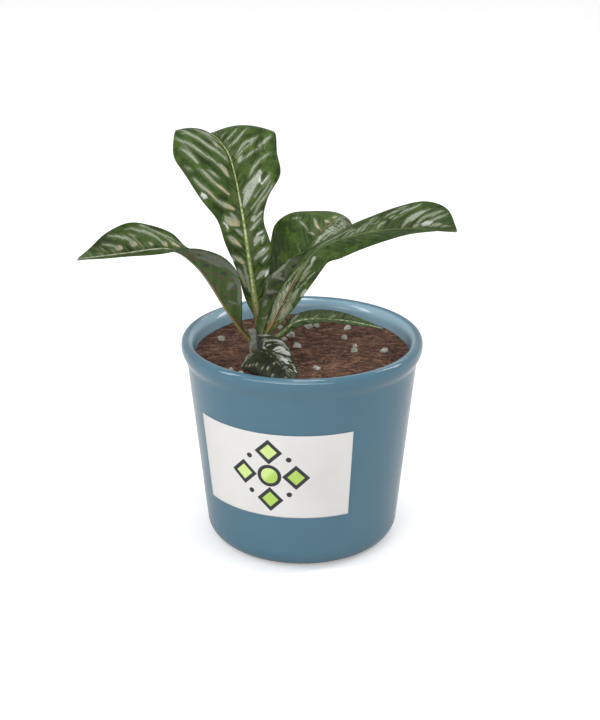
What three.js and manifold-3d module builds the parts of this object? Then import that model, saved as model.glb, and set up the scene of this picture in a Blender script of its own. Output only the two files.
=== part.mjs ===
// A potted dieffenbachia: a glazed round pot with a rolled rim and a paper label, potting soil
// with perlite grains, and a short cane with six leaves.
// Millimetres. +Z is up, the origin is on the pot's axis at the underside, and -Y is the front.
import * as THREE from "three";
import { mergeVertices } from "three/addons/utils/BufferGeometryUtils.js";
import Module from "manifold-3d";

const wasm = await Module();
wasm.setup();

// ---------------------------------------------------------------- driving dimensions
const CLEARANCE = 0.3;
const POT_SEGMENTS = 60;
const POT_HEIGHT = 133.6;
const WALL = 4.5;
const FLOOR_TOP = 5;
const FOOT_RADIUS = 48;
const FOOT_ROUNDING = 13;
const BODY_LOW = { radius: 61, height: 13 };
const BODY_HIGH = { radius: 71.9, height: 117.5 };
const RIM_OUTSIDE = [
  [72.2, 119.3],
  [72.9, 121.2],
  [74.2, 123.6],
  [75.2, 126.3],
  [75.5, 129.2],
  [75.2, 131.3],
  [74.4, 132.8],
  [73, POT_HEIGHT],
  [71.4, 133.4],
  [69.9, 132.5],
  [68.4, 130.8],
  [67.4, 128.3],
];
const INNER_HIGH = { radius: 66.9, height: 124 };
const INNER_LOW = { radius: 56.6, height: 15 };
const INNER_ROUNDING = 10;
const ROUNDING_STEPS = 5;

const LABEL = { low: 38.3, high: 95.7, from: -60.7, to: 26.1, thickness: 0.55 };
const WEDGE_REACH = 200;

const SOIL_SEGMENTS = 48;
const SOIL_RINGS = 9;
const SOIL_TOP = 124.1;
const SOIL_EDGE_DROP = 0.9;
const SOIL_BUMP = 0.5;
const SOIL_SEED = 11;

const PERLITE_SEED = 5;
const PERLITE_ROUGHNESS = 0.14;
// Each grain of perlite that lies in the surface: place, length, width and turn in degrees.
const PERLITE = [
  [-14.6, 37.2, 4, 4, 20],
  [-7.3, 23.8, 5.2, 6, 70],
  [-11.2, 15.6, 4.4, 3.6, 0],
  [-2.9, 3.3, 6.2, 5.4, 10],
  [4.5, 39.4, 5.4, 4, 5],
  [9.3, 41, 4.6, 3.8, 0],
  [29.4, 37, 4.8, 4.6, 30],
  [27.2, 19.8, 4, 4.4, 50],
  [33.4, 5.4, 2.8, 3, 0],
  [32.6, -2.8, 4.6, 4.6, 15],
  [51.2, -3.2, 4, 5, 80],
  [9.1, -32.8, 4.4, 3.6, 0],
  [-43.1, -34.9, 3.8, 3.2, 0],
  [-36.8, -40.4, 4.6, 3.4, 10],
  [-51.5, 18.7, 4.2, 4.6, 40],
];
const HIDDEN_PERLITE = { count: 5, near: -59, far: -53, spread: 24, size: 4 };

const CANE = {
  foot: [-28, -16.6, 110],
  head: [-30.6, -18, 144.2],
  footRadius: 3.8,
  headRadius: 2.6,
  sides: 12,
  rows: 6,
};
const CROWN = { centre: [-25, -15.8, 135.5], radii: [4.8, 4.2, 5.8], around: 12, along: 8 };

const BLADE_EDGE = 0.7;
const BLADE_RIB = 1.2;
const PETIOLE = 1.7;
const PETIOLE_FADE = 4;
const BLADE_ROWS = 30;
const SMALL_BLADE_ROWS = 18;
const HALF_COLUMNS = 4;
const TIP_CUT = 0.985;
const RIGHT_WAVE_SHIFT = 0.37;

// Every leaf has three lines through hand-set stations from its foot to its tip: the midrib and
// the two margins. Camber is how far each half swells above the straight line between them, and
// wave is the height, count and start of the ripples of the margin.
const LEAVES = {
  leaf_tall: {
    rows: BLADE_ROWS,
    color: 0x3f5a2a,
    midrib: [
      [-27.5, -12.5, 137.8], [-27.2, -10.5, 148.1], [-29.5, -9.5, 162.1], [-31.5, -7.5, 178.5],
      [-33.5, -6, 194], [-35.5, -2, 208], [-38, 3, 221.5], [-41, 9, 235],
      [-45.5, 18, 246.5], [-55, 36, 252.5], [-62, 55, 247], [-68, 72, 236],
    ],
    left: [
      [-29, -12.9, 137.9], [-29.3, -11.2, 148.1], [-34.9, -12.3, 162.6], [-40.2, -12.5, 181],
      [-46.5, -11, 197], [-51, -8, 210.5], [-61, -6, 223], [-70, -4, 238],
      [-77.5, 2, 249], [-76.6, 13.5, 260.8], [-77, 38, 236], [-68, 72, 236],
    ],
    right: [
      [-26, -13.2, 137.9], [-25.3, -10, 147.6], [-24, -9.5, 162], [-19.5, -10.5, 181.1],
      [-19, -10, 196], [-23, -6, 210.5], [-20.5, -4, 224.5], [-13.1, 0, 237.5],
      [-15, 8, 248], [-18, 21.5, 258.9], [-34, 54, 236], [-68, 72, 236],
    ],
    leftCamber: [0, 0.3, 0.5, 1, 1, 1, 2, 3, 3.5, 3, 2, 0],
    rightCamber: [0, 0.3, 0.5, 1, 1.5, 2, 3, 4, 4, 5, 3, 0],
    wave: { height: 0.6, count: 4, start: 0.1 },
  },
  leaf_left: {
    rows: BLADE_ROWS,
    color: 0x50663c,
    midrib: [
      [-31, -19, 138.3], [-37, -22, 146.5], [-42.5, -24, 155.5], [-48.8, -26, 166.6],
      [-54.8, -28, 177.6], [-60.8, -30, 187.1], [-67, -31, 194], [-73.2, -32, 198.8],
      [-81.5, -32, 200.8], [-92, -33, 200.3], [-104, -33, 198.4], [-116, -33, 196.9],
      [-126, -32, 195.3], [-134.5, -31, 193.9],
    ],
    left: [
      [-30.6, -19.8, 138.9], [-36.2, -24, 147.6], [-36, -32, 162.5], [-36, -37, 176],
      [-39, -41, 190], [-47, -44, 200], [-58, -46, 205], [-67.5, -47, 205.5],
      [-76.5, -48, 204], [-87.5, -49, 203], [-100, -48, 201.5], [-113.5, -44, 199],
      [-125, -38, 196.5], [-134.5, -31, 193.9],
    ],
    right: [
      [-31.3, -18, 138.7], [-37.2, -20.5, 147.6], [-39, -19, 158.5], [-40, -19, 169],
      [-43.5, -19, 179], [-50.5, -20, 187], [-59, -21, 194.5], [-69, -22, 198.5],
      [-77.5, -23, 207.5], [-90.5, -23, 212.5], [-103.5, -23, 214], [-117, -24, 208],
      [-127, -27, 199.2], [-134.5, -31, 193.9],
    ],
    leftCamber: [0, 0.5, 1, 1, 1, 1, 1, 0.5, 0, 0, 0, 0, 0, 0],
    rightCamber: [0, -0.5, -1, -1, -1, -1, 0, 1, 2, 2, 2, 1, 0.5, 0],
    wave: { height: 0.3, count: 4, start: 0 },
  },
  leaf_right: {
    rows: BLADE_ROWS,
    color: 0x4d6b34,
    midrib: [
      [-24.5, -17.5, 137], [-16, -17, 152], [-10, -17, 164.5], [-3.5, -16, 177],
      [1.5, -15, 186], [8.5, -14, 194], [18, -13, 199], [30.5, -12, 202.5],
      [44.5, -11, 205], [59, -11, 206.5], [73, -12, 207], [84, -13, 206.5],
      [93.5, -15, 206.5],
    ],
    left: [
      [-25.5, -16, 138], [-20.5, -14, 153], [-16, -13, 164], [-10, -11, 174.5],
      [-2, -9, 183], [6, -6, 191.5], [16, -2, 198], [28.5, 0, 205],
      [42, 2, 210.2], [57, 3, 216], [74.5, 3, 219.6], [88, -2, 216.3],
      [93.5, -15, 206.5],
    ],
    right: [
      [-23, -19, 137.5], [-11, -22, 152], [-2, -25, 164.5], [6, -26, 177],
      [13.5, -26, 188], [17.5, -25, 191], [23.5, -24, 192.5], [34, -24, 197],
      [47, -24, 202.5], [60.5, -24, 206.5], [73.5, -23, 208.5], [83, -19, 208],
      [93.5, -15, 206.5],
    ],
    leftCamber: [0, 0.5, 1, 1, 0.5, 0, 0.5, 1, 1.5, 2, 2, 1, 0],
    rightCamber: [0, 0.5, 1, 1, 0.5, 0.5, 1, 1, 1, 0.5, 0.5, 0.3, 0],
    wave: { height: 0.3, count: 5, start: 0 },
  },
  leaf_middle: {
    rows: BLADE_ROWS,
    color: 0x36502a,
    midrib: [
      [-26.5, -14.5, 138.5], [-20.5, -10, 151.5], [-12, -5, 161.5], [-3, -1, 171.5],
      [2, 4, 180.5], [5, 11, 188.5], [10, 17, 194.5], [16, 23, 197.5],
      [23, 30, 200], [28.5, 40, 195], [34, 52, 186],
    ],
    left: [
      [-26, -12.8, 139], [-22.5, -3, 154], [-22.5, 6, 165.5], [-21.5, 14, 177],
      [-19.5, 21, 188.5], [-16.5, 27, 198], [-7, 32, 203.6], [7, 36, 203.5],
      [21, 40, 201.5], [29.5, 46, 195.6], [34, 52, 186],
    ],
    right: [
      [-29, -15.3, 140.5], [-27, -15, 153.7], [-23.8, -13, 165], [-23, -12, 173.7],
      [-15.5, -7, 178.7], [-7, -2, 185], [3, 3, 187], [13, 9, 189],
      [22.5, 17, 191.5], [30, 30, 192], [34, 52, 186],
    ],
    leftCamber: [0, -0.5, -1, 0, 1, 1.5, 1.5, 1.5, 1, 0.5, 0],
    rightCamber: [0, 0.5, 1, 0.5, 0, 0, 1, 1, 1, 0.5, 0],
    wave: { height: 0.3, count: 3, start: 0 },
  },
  leaf_low: {
    rows: SMALL_BLADE_ROWS,
    color: 0x44602f,
    midrib: [
      [-21.5, -14.5, 136], [-13, -9, 138.2], [-5, -2, 142.8], [4, 5, 142.5],
      [14.5, 12, 140], [27.5, 20, 136], [40.5, 27, 131], [53, 33, 125.6],
    ],
    left: [
      [-22, -13.2, 136.5], [-13.8, -7.2, 139.2], [-8, 2, 144.5], [2, 10, 145.8],
      [13.5, 18, 144.3], [27, 25, 139.3], [40, 30, 132.7], [53, 33, 125.6],
    ],
    right: [
      [-20.5, -15.5, 135.8], [-11.8, -11.2, 137], [-3, -5, 140.5], [5.5, 0.5, 141.3],
      [15.5, 8, 139], [28, 17, 134.5], [40.5, 25, 129.7], [53, 33, 125.6],
    ],
    leftCamber: [0, 0.3, 0.5, 0.8, 1, 0.7, 0.3, 0],
    rightCamber: [0, 0.2, 0.4, 0.5, 0.5, 0.3, 0.2, 0],
    wave: { height: 0.2, count: 3, start: 0 },
  },
  leaf_curled: {
    rows: SMALL_BLADE_ROWS,
    color: 0x2e3f22,
    midrib: [
      [-27.3, -22.5, 132.5], [-25.2, -24.5, 132.4], [-21.4, -29, 133], [-18.5, -34.5, 132.5],
      [-14.5, -39.5, 130.5], [-11, -44, 128], [-7.5, -48, 126], [-4.5, -50.5, 124.8],
    ],
    left: [
      [-27.4, -19.3, 142.4], [-23.5, -19.5, 141.8], [-16.5, -21.5, 141], [-11, -26.5, 139],
      [-7, -33, 135.5], [-4.5, -39.5, 131.5], [-3, -45, 127.5], [-4.5, -50.5, 124.8],
    ],
    right: [
      [-28.8, -22.8, 131.6], [-30, -25.5, 132.2], [-33, -29, 131.5], [-35.5, -33, 129],
      [-37, -37.5, 127], [-31, -43, 126.5], [-21.5, -48, 125.3], [-4.5, -50.5, 124.8],
    ],
    leftCamber: [0, 0.5, 1, 1.5, 1.8, 1.2, 0.5, 0],
    rightCamber: [0, 0.3, 0.8, 1.2, 1.5, 1, 0.5, 0],
    wave: { height: 0.3, count: 3, start: 0 },
  },
};

const FULL_TURN = 2 * Math.PI;
const radians = (degrees) => (degrees * Math.PI) / 180;

// ---------------------------------------------------------------- solids and meshes
function solidFromGeometry(geometry) {
  const bare = geometry.clone();
  bare.deleteAttribute("normal");
  bare.deleteAttribute("uv");
  const merged = mergeVertices(bare, 1e-4);
  return new wasm.Manifold(
    new wasm.Mesh({
      numProp: 3,
      vertProperties: new Float32Array(merged.attributes.position.array),
      triVerts: new Uint32Array(merged.index.array),
    }),
  );
}

function geometryFromSolid(solid) {
  const mesh = solid.getMesh();
  const geometry = new THREE.BufferGeometry();
  geometry.setAttribute("position", new THREE.BufferAttribute(mesh.vertProperties, 3));
  geometry.setIndex(new THREE.BufferAttribute(mesh.triVerts, 1));
  geometry.computeVertexNormals();
  return geometry;
}

function largestBody(solid) {
  const bodies = solid.decompose();
  return bodies.reduce((best, body) => (body.volume() > best.volume() ? body : best));
}

function meshOf(name, geometry, look) {
  const mesh = new THREE.Mesh(geometry, new THREE.MeshStandardMaterial(look));
  mesh.name = name;
  return mesh;
}

// Joins a list of rings of points, each one point or the same number of points, into a closed skin.
function skinRings(rings) {
  const positions = [];
  const starts = rings.map((ring) => {
    const start = positions.length / 3;
    ring.forEach((point) => positions.push(...point));
    return start;
  });
  const index = [];
  for (let row = 0; row + 1 < rings.length; row += 1) {
    const here = rings[row];
    const next = rings[row + 1];
    const count = Math.max(here.length, next.length);
    const at = (ring, start, step) => start + (ring.length === 1 ? 0 : step % ring.length);
    for (let step = 0; step < count; step += 1) {
      const a = at(here, starts[row], step);
      const b = at(here, starts[row], step + 1);
      const c = at(next, starts[row + 1], step + 1);
      const d = at(next, starts[row + 1], step);
      if (a !== b) index.push(a, c, b);
      if (c !== d) index.push(a, d, c);
    }
  }
  const geometry = new THREE.BufferGeometry();
  geometry.setAttribute("position", new THREE.Float32BufferAttribute(positions, 3));
  geometry.setIndex(index);
  return geometry;
}

// A seeded random number from 0 to 1.
function randomSource(seed) {
  let state = seed;
  return () => {
    state = (state * 1664525 + 1013904223) % 4294967296;
    return state / 4294967296;
  };
}

// ---------------------------------------------------------------- pot and label
function roundedCorner(centreRadius, centreHeight, rounding) {
  const corner = [];
  for (let step = 0; step <= ROUNDING_STEPS; step += 1) {
    const angle = (step / ROUNDING_STEPS) * (Math.PI / 2);
    const radius = centreRadius + rounding * Math.sin(angle);
    corner.push([radius, centreHeight - rounding * Math.cos(angle)]);
  }
  return corner;
}

// The radius between two ends of a cone, at one height.
function coneRadius(low, high, height) {
  const share = (height - low.height) / (high.height - low.height);
  return low.radius + (high.radius - low.radius) * share;
}

function revolve(profile, segments) {
  const points = profile.map(([radius, height]) => new THREE.Vector2(radius, height));
  const geometry = new THREE.LatheGeometry(points, segments);
  geometry.rotateX(Math.PI / 2);
  return geometry;
}

function potGeometry() {
  const outside = [
    [0, 0],
    ...roundedCorner(FOOT_RADIUS, FOOT_ROUNDING, FOOT_ROUNDING),
    [BODY_HIGH.radius, BODY_HIGH.height],
    ...RIM_OUTSIDE,
  ];
  const innerCorner = roundedCorner(
    INNER_LOW.radius - INNER_ROUNDING,
    FLOOR_TOP + INNER_ROUNDING,
    INNER_ROUNDING,
  ).reverse();
  const inside = [[INNER_HIGH.radius, INNER_HIGH.height], ...innerCorner, [0, FLOOR_TOP]];
  return revolve([...outside, ...inside], POT_SEGMENTS);
}

function labelGeometry() {
  const near = (height) => coneRadius(BODY_LOW, BODY_HIGH, height) + CLEARANCE;
  const far = (height) => near(height) + LABEL.thickness;
  const band = revolve(
    [
      [near(LABEL.low), LABEL.low],
      [far(LABEL.low), LABEL.low],
      [far(LABEL.high), LABEL.high],
      [near(LABEL.high), LABEL.high],
      [near(LABEL.low), LABEL.low],
    ],
    POT_SEGMENTS,
  );
  const wedge = new THREE.Shape();
  wedge.moveTo(0, 0);
  for (const angle of [LABEL.from, (LABEL.from + LABEL.to) / 2, LABEL.to]) {
    const turn = radians(angle);
    wedge.lineTo(WEDGE_REACH * Math.sin(turn), -WEDGE_REACH * Math.cos(turn));
  }
  const slab = new THREE.ExtrudeGeometry(wedge, { depth: WEDGE_REACH, bevelEnabled: false });
  const cut = solidFromGeometry(band).intersect(solidFromGeometry(slab));
  return geometryFromSolid(cut);
}

// ---------------------------------------------------------------- cane
function caneSolid(grow) {
  const foot = new THREE.Vector3(...CANE.foot);
  const head = new THREE.Vector3(...CANE.head);
  const rings = [];
  const ringAt = (share, radius, lift) => {
    const centre = foot.clone().lerp(head, share);
    const ring = [];
    for (let side = 0; side < CANE.sides; side += 1) {
      const angle = (side / CANE.sides) * FULL_TURN;
      ring.push([
        centre.x + radius * Math.cos(angle),
        centre.y + radius * Math.sin(angle),
        centre.z + lift,
      ]);
    }
    return ring;
  };
  rings.push([[head.x, head.y, head.z + grow]]);
  for (let row = CANE.rows; row >= 0; row -= 1) {
    const share = row / CANE.rows;
    const radius = CANE.footRadius + (CANE.headRadius - CANE.footRadius) * share + grow;
    const lift = row === CANE.rows ? grow : row === 0 ? -grow : 0;
    rings.push(ringAt(share, radius, lift));
  }
  rings.push([[foot.x, foot.y, foot.z - grow]]);
  const geometry = skinRings(rings);
  return solidFromGeometry(geometry);
}

function crownSolid(grow) {
  const crown = new THREE.SphereGeometry(1, CROWN.around, CROWN.along);
  crown.rotateX(Math.PI / 2);
  crown.scale(...CROWN.radii.map((radius) => radius + grow));
  crown.translate(...CROWN.centre);
  return solidFromGeometry(crown);
}

function stemSolid(grow) {
  return caneSolid(grow).add(crownSolid(grow));
}

// ---------------------------------------------------------------- leaves
// A curve through evenly counted values: Catmull-Rom, with both ends carried on straight.
function curveAt(values, share) {
  const last = values.length - 1;
  const place = Math.min(Math.max(share, 0), 1) * last;
  const index = Math.min(Math.floor(place), last - 1);
  const f = place - index;
  const b = values[index];
  const c = values[index + 1];
  const a = index > 0 ? values[index - 1] : 2 * b - c;
  const d = index + 2 <= last ? values[index + 2] : 2 * c - b;
  return (
    0.5 *
    (2 * b + (c - a) * f + (2 * a - 5 * b + 4 * c - d) * f * f + (3 * b - a - 3 * c + d) * f ** 3)
  );
}

function lineAt(stations, share) {
  const axis = (k) => curveAt(stations.map((station) => station[k]), share);
  return new THREE.Vector3(axis(0), axis(1), axis(2));
}

// One point of a leaf's upper face. The share goes from foot to tip, and the side from -1 at the
// left margin through 0 at the midrib to 1 at the right margin.
function bladePoint(leaf, share, side) {
  const rib = lineAt(leaf.midrib, share);
  if (side === 0) return rib;
  const step = 1e-3;
  const ahead = lineAt(leaf.midrib, Math.min(share + step, 1));
  const along = ahead.sub(lineAt(leaf.midrib, Math.max(share - step, 0))).normalize();
  const isRight = side > 0;
  const reach = Math.abs(side);
  const across = lineAt(isRight ? leaf.right : leaf.left, share).sub(rib);
  const up = new THREE.Vector3().crossVectors(across, along).normalize();
  if (!isRight) up.negate();
  const camber = curveAt(isRight ? leaf.rightCamber : leaf.leftCamber, share);
  const start = leaf.wave.start + (isRight ? RIGHT_WAVE_SHIFT : 0);
  const ripple = Math.sin(FULL_TURN * (leaf.wave.count * share + start));
  const swell = 4 * camber * reach * (1 - reach);
  const lift = swell + leaf.wave.height * reach ** 2 * ripple * Math.sin(Math.PI * share);
  return rib.addScaledVector(across, reach).addScaledVector(up, lift);
}

function bladeThickness(share, side) {
  const rib = BLADE_RIB + PETIOLE * (1 - share) ** PETIOLE_FADE;
  return BLADE_EDGE + (rib - BLADE_EDGE) * (1 - Math.abs(side)) ** 2;
}

// A closed blade whose two faces are split into triangles alike. Grow makes it larger all round.
function leafSolid(leaf, grow) {
  const columns = 2 * HALF_COLUMNS + 1;
  const upper = [];
  for (let row = 0; row <= leaf.rows; row += 1) {
    const share = (row / leaf.rows) * TIP_CUT;
    const line = [];
    for (let column = 0; column < columns; column += 1) {
      line.push(bladePoint(leaf, share, column / HALF_COLUMNS - 1));
    }
    upper.push(line);
  }
  const faces = [[], []];
  for (let row = 0; row <= leaf.rows; row += 1) {
    const before = upper[Math.max(row - 1, 0)];
    const after = upper[Math.min(row + 1, leaf.rows)];
    for (let column = 0; column < columns; column += 1) {
      const here = upper[row][column];
      const leftward = upper[row][Math.max(column - 1, 0)];
      const rightward = upper[row][Math.min(column + 1, columns - 1)];
      const along = after[column].clone().sub(before[column]).normalize();
      const across = rightward.clone().sub(leftward).normalize();
      const up = new THREE.Vector3().crossVectors(across, along).normalize();
      const side = column / HALF_COLUMNS - 1;
      const thick = bladeThickness((row / leaf.rows) * TIP_CUT, side);
      const point = here.clone();
      if (column === 0) point.addScaledVector(across, -grow);
      if (column === columns - 1) point.addScaledVector(across, grow);
      if (row === 0) point.addScaledVector(along, -grow);
      if (row === leaf.rows) point.addScaledVector(along, grow);
      faces[0].push(point.clone().addScaledVector(up, grow).toArray());
      faces[1].push(point.clone().addScaledVector(up, -thick - grow).toArray());
    }
  }
  const count = faces[0].length;
  const top = (row, column) => row * columns + column;
  const bottom = (row, column) => count + top(row, column);
  const index = [];
  const quad = (a, b, c, d) => index.push(a, b, c, a, c, d);
  for (let row = 0; row < leaf.rows; row += 1) {
    for (let column = 0; column + 1 < columns; column += 1) {
      quad(
        top(row, column),
        top(row, column + 1),
        top(row + 1, column + 1),
        top(row + 1, column),
      );
      index.push(bottom(row, column), bottom(row + 1, column + 1), bottom(row, column + 1));
      index.push(bottom(row, column), bottom(row + 1, column), bottom(row + 1, column + 1));
    }
    quad(top(row, 0), top(row + 1, 0), bottom(row + 1, 0), bottom(row, 0));
    const end = columns - 1;
    quad(top(row + 1, end), top(row, end), bottom(row, end), bottom(row + 1, end));
  }
  for (let column = 0; column + 1 < columns; column += 1) {
    quad(top(0, column + 1), top(0, column), bottom(0, column), bottom(0, column + 1));
    const tip = leaf.rows;
    quad(top(tip, column), top(tip, column + 1), bottom(tip, column + 1), bottom(tip, column));
  }
  const geometry = new THREE.BufferGeometry();
  const positions = [...faces[0], ...faces[1]].flat();
  geometry.setAttribute("position", new THREE.Float32BufferAttribute(positions, 3));
  geometry.setIndex(index);
  return solidFromGeometry(geometry);
}

// ---------------------------------------------------------------- soil with its perlite
function soilHeight(x, y, wobble) {
  const radius = Math.hypot(x, y) / INNER_HIGH.radius;
  const roll = Math.sin(x * 0.11 + 0.6) * Math.cos(y * 0.13 - 0.4);
  return SOIL_TOP - SOIL_EDGE_DROP * radius ** 2 + SOIL_BUMP * (0.6 * roll + 0.8 * wobble);
}

function soilSolid() {
  const random = randomSource(SOIL_SEED);
  const inside = (height) => coneRadius(INNER_LOW, INNER_HIGH, height) - CLEARANCE;
  const ringAt = (radius, heightOf) => {
    const ring = [];
    for (let step = 0; step < SOIL_SEGMENTS; step += 1) {
      const angle = (step / SOIL_SEGMENTS) * FULL_TURN;
      const x = radius * Math.cos(angle);
      const y = radius * Math.sin(angle);
      ring.push([x, y, heightOf(x, y)]);
    }
    return ring;
  };
  const bumpy = (x, y) => soilHeight(x, y, random() - 0.5);
  const rings = [[[0, 0, bumpy(0, 0)]]];
  const topRadius = inside(SOIL_TOP - 1.6);
  for (let ring = 1; ring <= SOIL_RINGS; ring += 1) {
    rings.push(ringAt((topRadius * ring) / SOIL_RINGS, bumpy));
  }
  const low = FLOOR_TOP + INNER_ROUNDING;
  rings.push(ringAt(inside(low), () => low));
  const corner = roundedCorner(
    INNER_LOW.radius - INNER_ROUNDING,
    FLOOR_TOP + INNER_ROUNDING,
    INNER_ROUNDING - CLEARANCE,
  );
  corner.slice(0, -1).reverse().forEach(([radius, height]) => {
    rings.push(ringAt(radius, () => height));
  });
  rings.push([[0, 0, FLOOR_TOP + CLEARANCE]]);
  return solidFromGeometry(skinRings(rings));
}

function perliteSolid([x, y, length, width, turn], random) {
  const grain = new THREE.IcosahedronGeometry(1, 1);
  grain.deleteAttribute("normal");
  grain.deleteAttribute("uv");
  const merged = mergeVertices(grain, 1e-4);
  const position = merged.attributes.position;
  for (let i = 0; i < position.count; i += 1) {
    const swell = 1 + PERLITE_ROUGHNESS * (2 * random() - 1);
    position.setXYZ(i, position.getX(i) * swell, position.getY(i) * swell, position.getZ(i) * swell);
  }
  merged.scale(length / 2, width / 2, (length + width) / 4);
  merged.rotateZ(radians(turn));
  merged.translate(x, y, soilHeight(x, y, 0) + 0.4);
  return solidFromGeometry(merged);
}

// ---------------------------------------------------------------- the plant in its pot
const stem = stemSolid(0);
const blades = {};
const taken = [stemSolid(CLEARANCE)];
for (const [name, leaf] of Object.entries(LEAVES)) {
  const cut = taken.reduce((solid, other) => solid.subtract(other), leafSolid(leaf, 0));
  blades[name] = largestBody(cut);
  taken.push(leafSolid(leaf, CLEARANCE));
}

const random = randomSource(PERLITE_SEED);
const grains = [...PERLITE];
for (let n = 0; n < HIDDEN_PERLITE.count; n += 1) {
  const x = HIDDEN_PERLITE.spread * (2 * random() - 1);
  const y = HIDDEN_PERLITE.near + (HIDDEN_PERLITE.far - HIDDEN_PERLITE.near) * random();
  grains.push([x, y, HIDDEN_PERLITE.size, HIDDEN_PERLITE.size, 0]);
}
const grown = grains.reduce((solid, grain) => solid.add(perliteSolid(grain, random)), soilSolid());
const soil = largestBody(taken.reduce((solid, other) => solid.subtract(other), grown));

const plant = new THREE.Group();
plant.name = "potted_dieffenbachia";
plant.add(meshOf("pot", potGeometry(), { color: 0x597a8a, roughness: 0.22, metalness: 0 }));
plant.add(meshOf("label", labelGeometry(), { color: 0xe6e5e3, roughness: 0.8, metalness: 0 }));
plant.add(meshOf("soil", geometryFromSolid(soil), { color: 0x5d463a, roughness: 1, metalness: 0 }));
plant.add(meshOf("stem", geometryFromSolid(stem), { color: 0x6a7258, roughness: 0.6, metalness: 0 }));
for (const [name, solid] of Object.entries(blades)) {
  const look = { color: LEAVES[name].color, roughness: 0.35, metalness: 0, side: THREE.FrontSide };
  plant.add(meshOf(name, geometryFromSolid(solid), look));
}

export default plant;
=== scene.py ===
"""A young dieffenbachia in a glazed pot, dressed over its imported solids.

Lengths in the tables are millimetres in the part's own frame: +Z up, the origin on the pot's
axis at its underside, and -Y towards the front. Meshes are made in metres.
"""

import logging
import math
from collections.abc import Sequence
from dataclasses import dataclass, field
from enum import Enum
from functools import cache

import bpy
import numpy as np
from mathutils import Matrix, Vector, noise


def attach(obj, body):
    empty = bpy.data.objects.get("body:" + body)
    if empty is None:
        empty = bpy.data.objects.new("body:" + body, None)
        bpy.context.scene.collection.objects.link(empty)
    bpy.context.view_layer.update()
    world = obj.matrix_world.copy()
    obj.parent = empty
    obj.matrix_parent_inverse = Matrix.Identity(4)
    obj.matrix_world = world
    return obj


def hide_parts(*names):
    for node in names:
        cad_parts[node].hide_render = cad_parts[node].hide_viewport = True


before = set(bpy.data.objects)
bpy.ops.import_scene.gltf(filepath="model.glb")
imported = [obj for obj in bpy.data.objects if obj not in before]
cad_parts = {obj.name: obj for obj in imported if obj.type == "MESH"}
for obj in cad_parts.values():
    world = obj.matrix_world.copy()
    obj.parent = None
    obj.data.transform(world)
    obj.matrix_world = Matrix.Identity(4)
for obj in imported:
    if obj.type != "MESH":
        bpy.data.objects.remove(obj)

LOG = logging.getLogger("potted_dieffenbachia")
MM = 0.001
FULL_TURN = 2 * math.pi
BODY = "root"
# How far from a stroke's edge, in millimetres, a leaf's map of its strokes still changes.
PAINT_REACH = 4.0
# How steeply a leaf swells between two side veins.
QUILT_POWER = 0.6
# How fine the unevenness of a loose grain is, and how far it tilts, in radians.
GRAIN_PITCH = 1.3
GRAIN_TILT = 0.35

Point = tuple[float, float, float]
Place = tuple[float, float]
Colour = tuple[float, float, float]
Faces = list[tuple[int, ...]]
Solid = tuple[np.ndarray, Faces]
Socket = bpy.types.NodeSocket
Outputs = bpy.types.NodeOutputs
Tree = bpy.types.NodeTree
Material = bpy.types.Material
Values = dict[int | str, object]


# ------------------------------ helpers for numbers
def srgb(red: int, green: int, blue: int) -> Colour:
    """Gives the linear colour of an 8-bit screen colour."""
    shares = (level / 255 for level in (red, green, blue))
    return tuple(s / 12.92 if s <= 0.04045 else ((s + 0.055) / 1.055) ** 2.4 for s in shares)


def curve(stations: Sequence[Sequence[float]] | Sequence[float], shares: np.ndarray) -> np.ndarray:
    """Reads a Catmull-Rom curve through evenly counted stations.

    Args:
        stations: The values the curve goes through, one row for each.
        shares: Where to read it, from 0 at the first station to 1 at the last.

    Returns:
        One row of values for each share.
    """
    knots = np.asarray(stations, float)
    if knots.ndim == 1:
        knots = knots[:, None]
    last = len(knots) - 1
    padded = np.vstack([2 * knots[0] - knots[1], knots, 2 * knots[-1] - knots[-2]])
    place = np.clip(shares, 0, 1) * last
    index = np.minimum(place.astype(int), last - 1)
    f = (place - index)[:, None]
    a, b, c, d = (padded[index + k] for k in range(4))
    return 0.5 * (
        2 * b
        + (c - a) * f
        + (2 * a - 5 * b + 4 * c - d) * f**2
        + (3 * b - a - 3 * c + d) * f**3
    )


def unit(vectors: np.ndarray) -> np.ndarray:
    """Scales each vector to length one."""
    length = np.linalg.norm(vectors, axis=-1, keepdims=True)
    return vectors / np.maximum(length, 1e-9)


def smooth_step(low: float, high: float, values: np.ndarray) -> np.ndarray:
    """Rises smoothly from 0 at low to 1 at high."""
    share = np.clip((values - low) / (high - low), 0, 1)
    return share * share * (3 - 2 * share)


def cone_radius(low: Place, high: Place, height: float) -> float:
    """Gives the radius at a height of the cone through two (radius, height) ends."""
    share = (height - low[1]) / (high[1] - low[1])
    return low[0] + (high[0] - low[0]) * share


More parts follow.
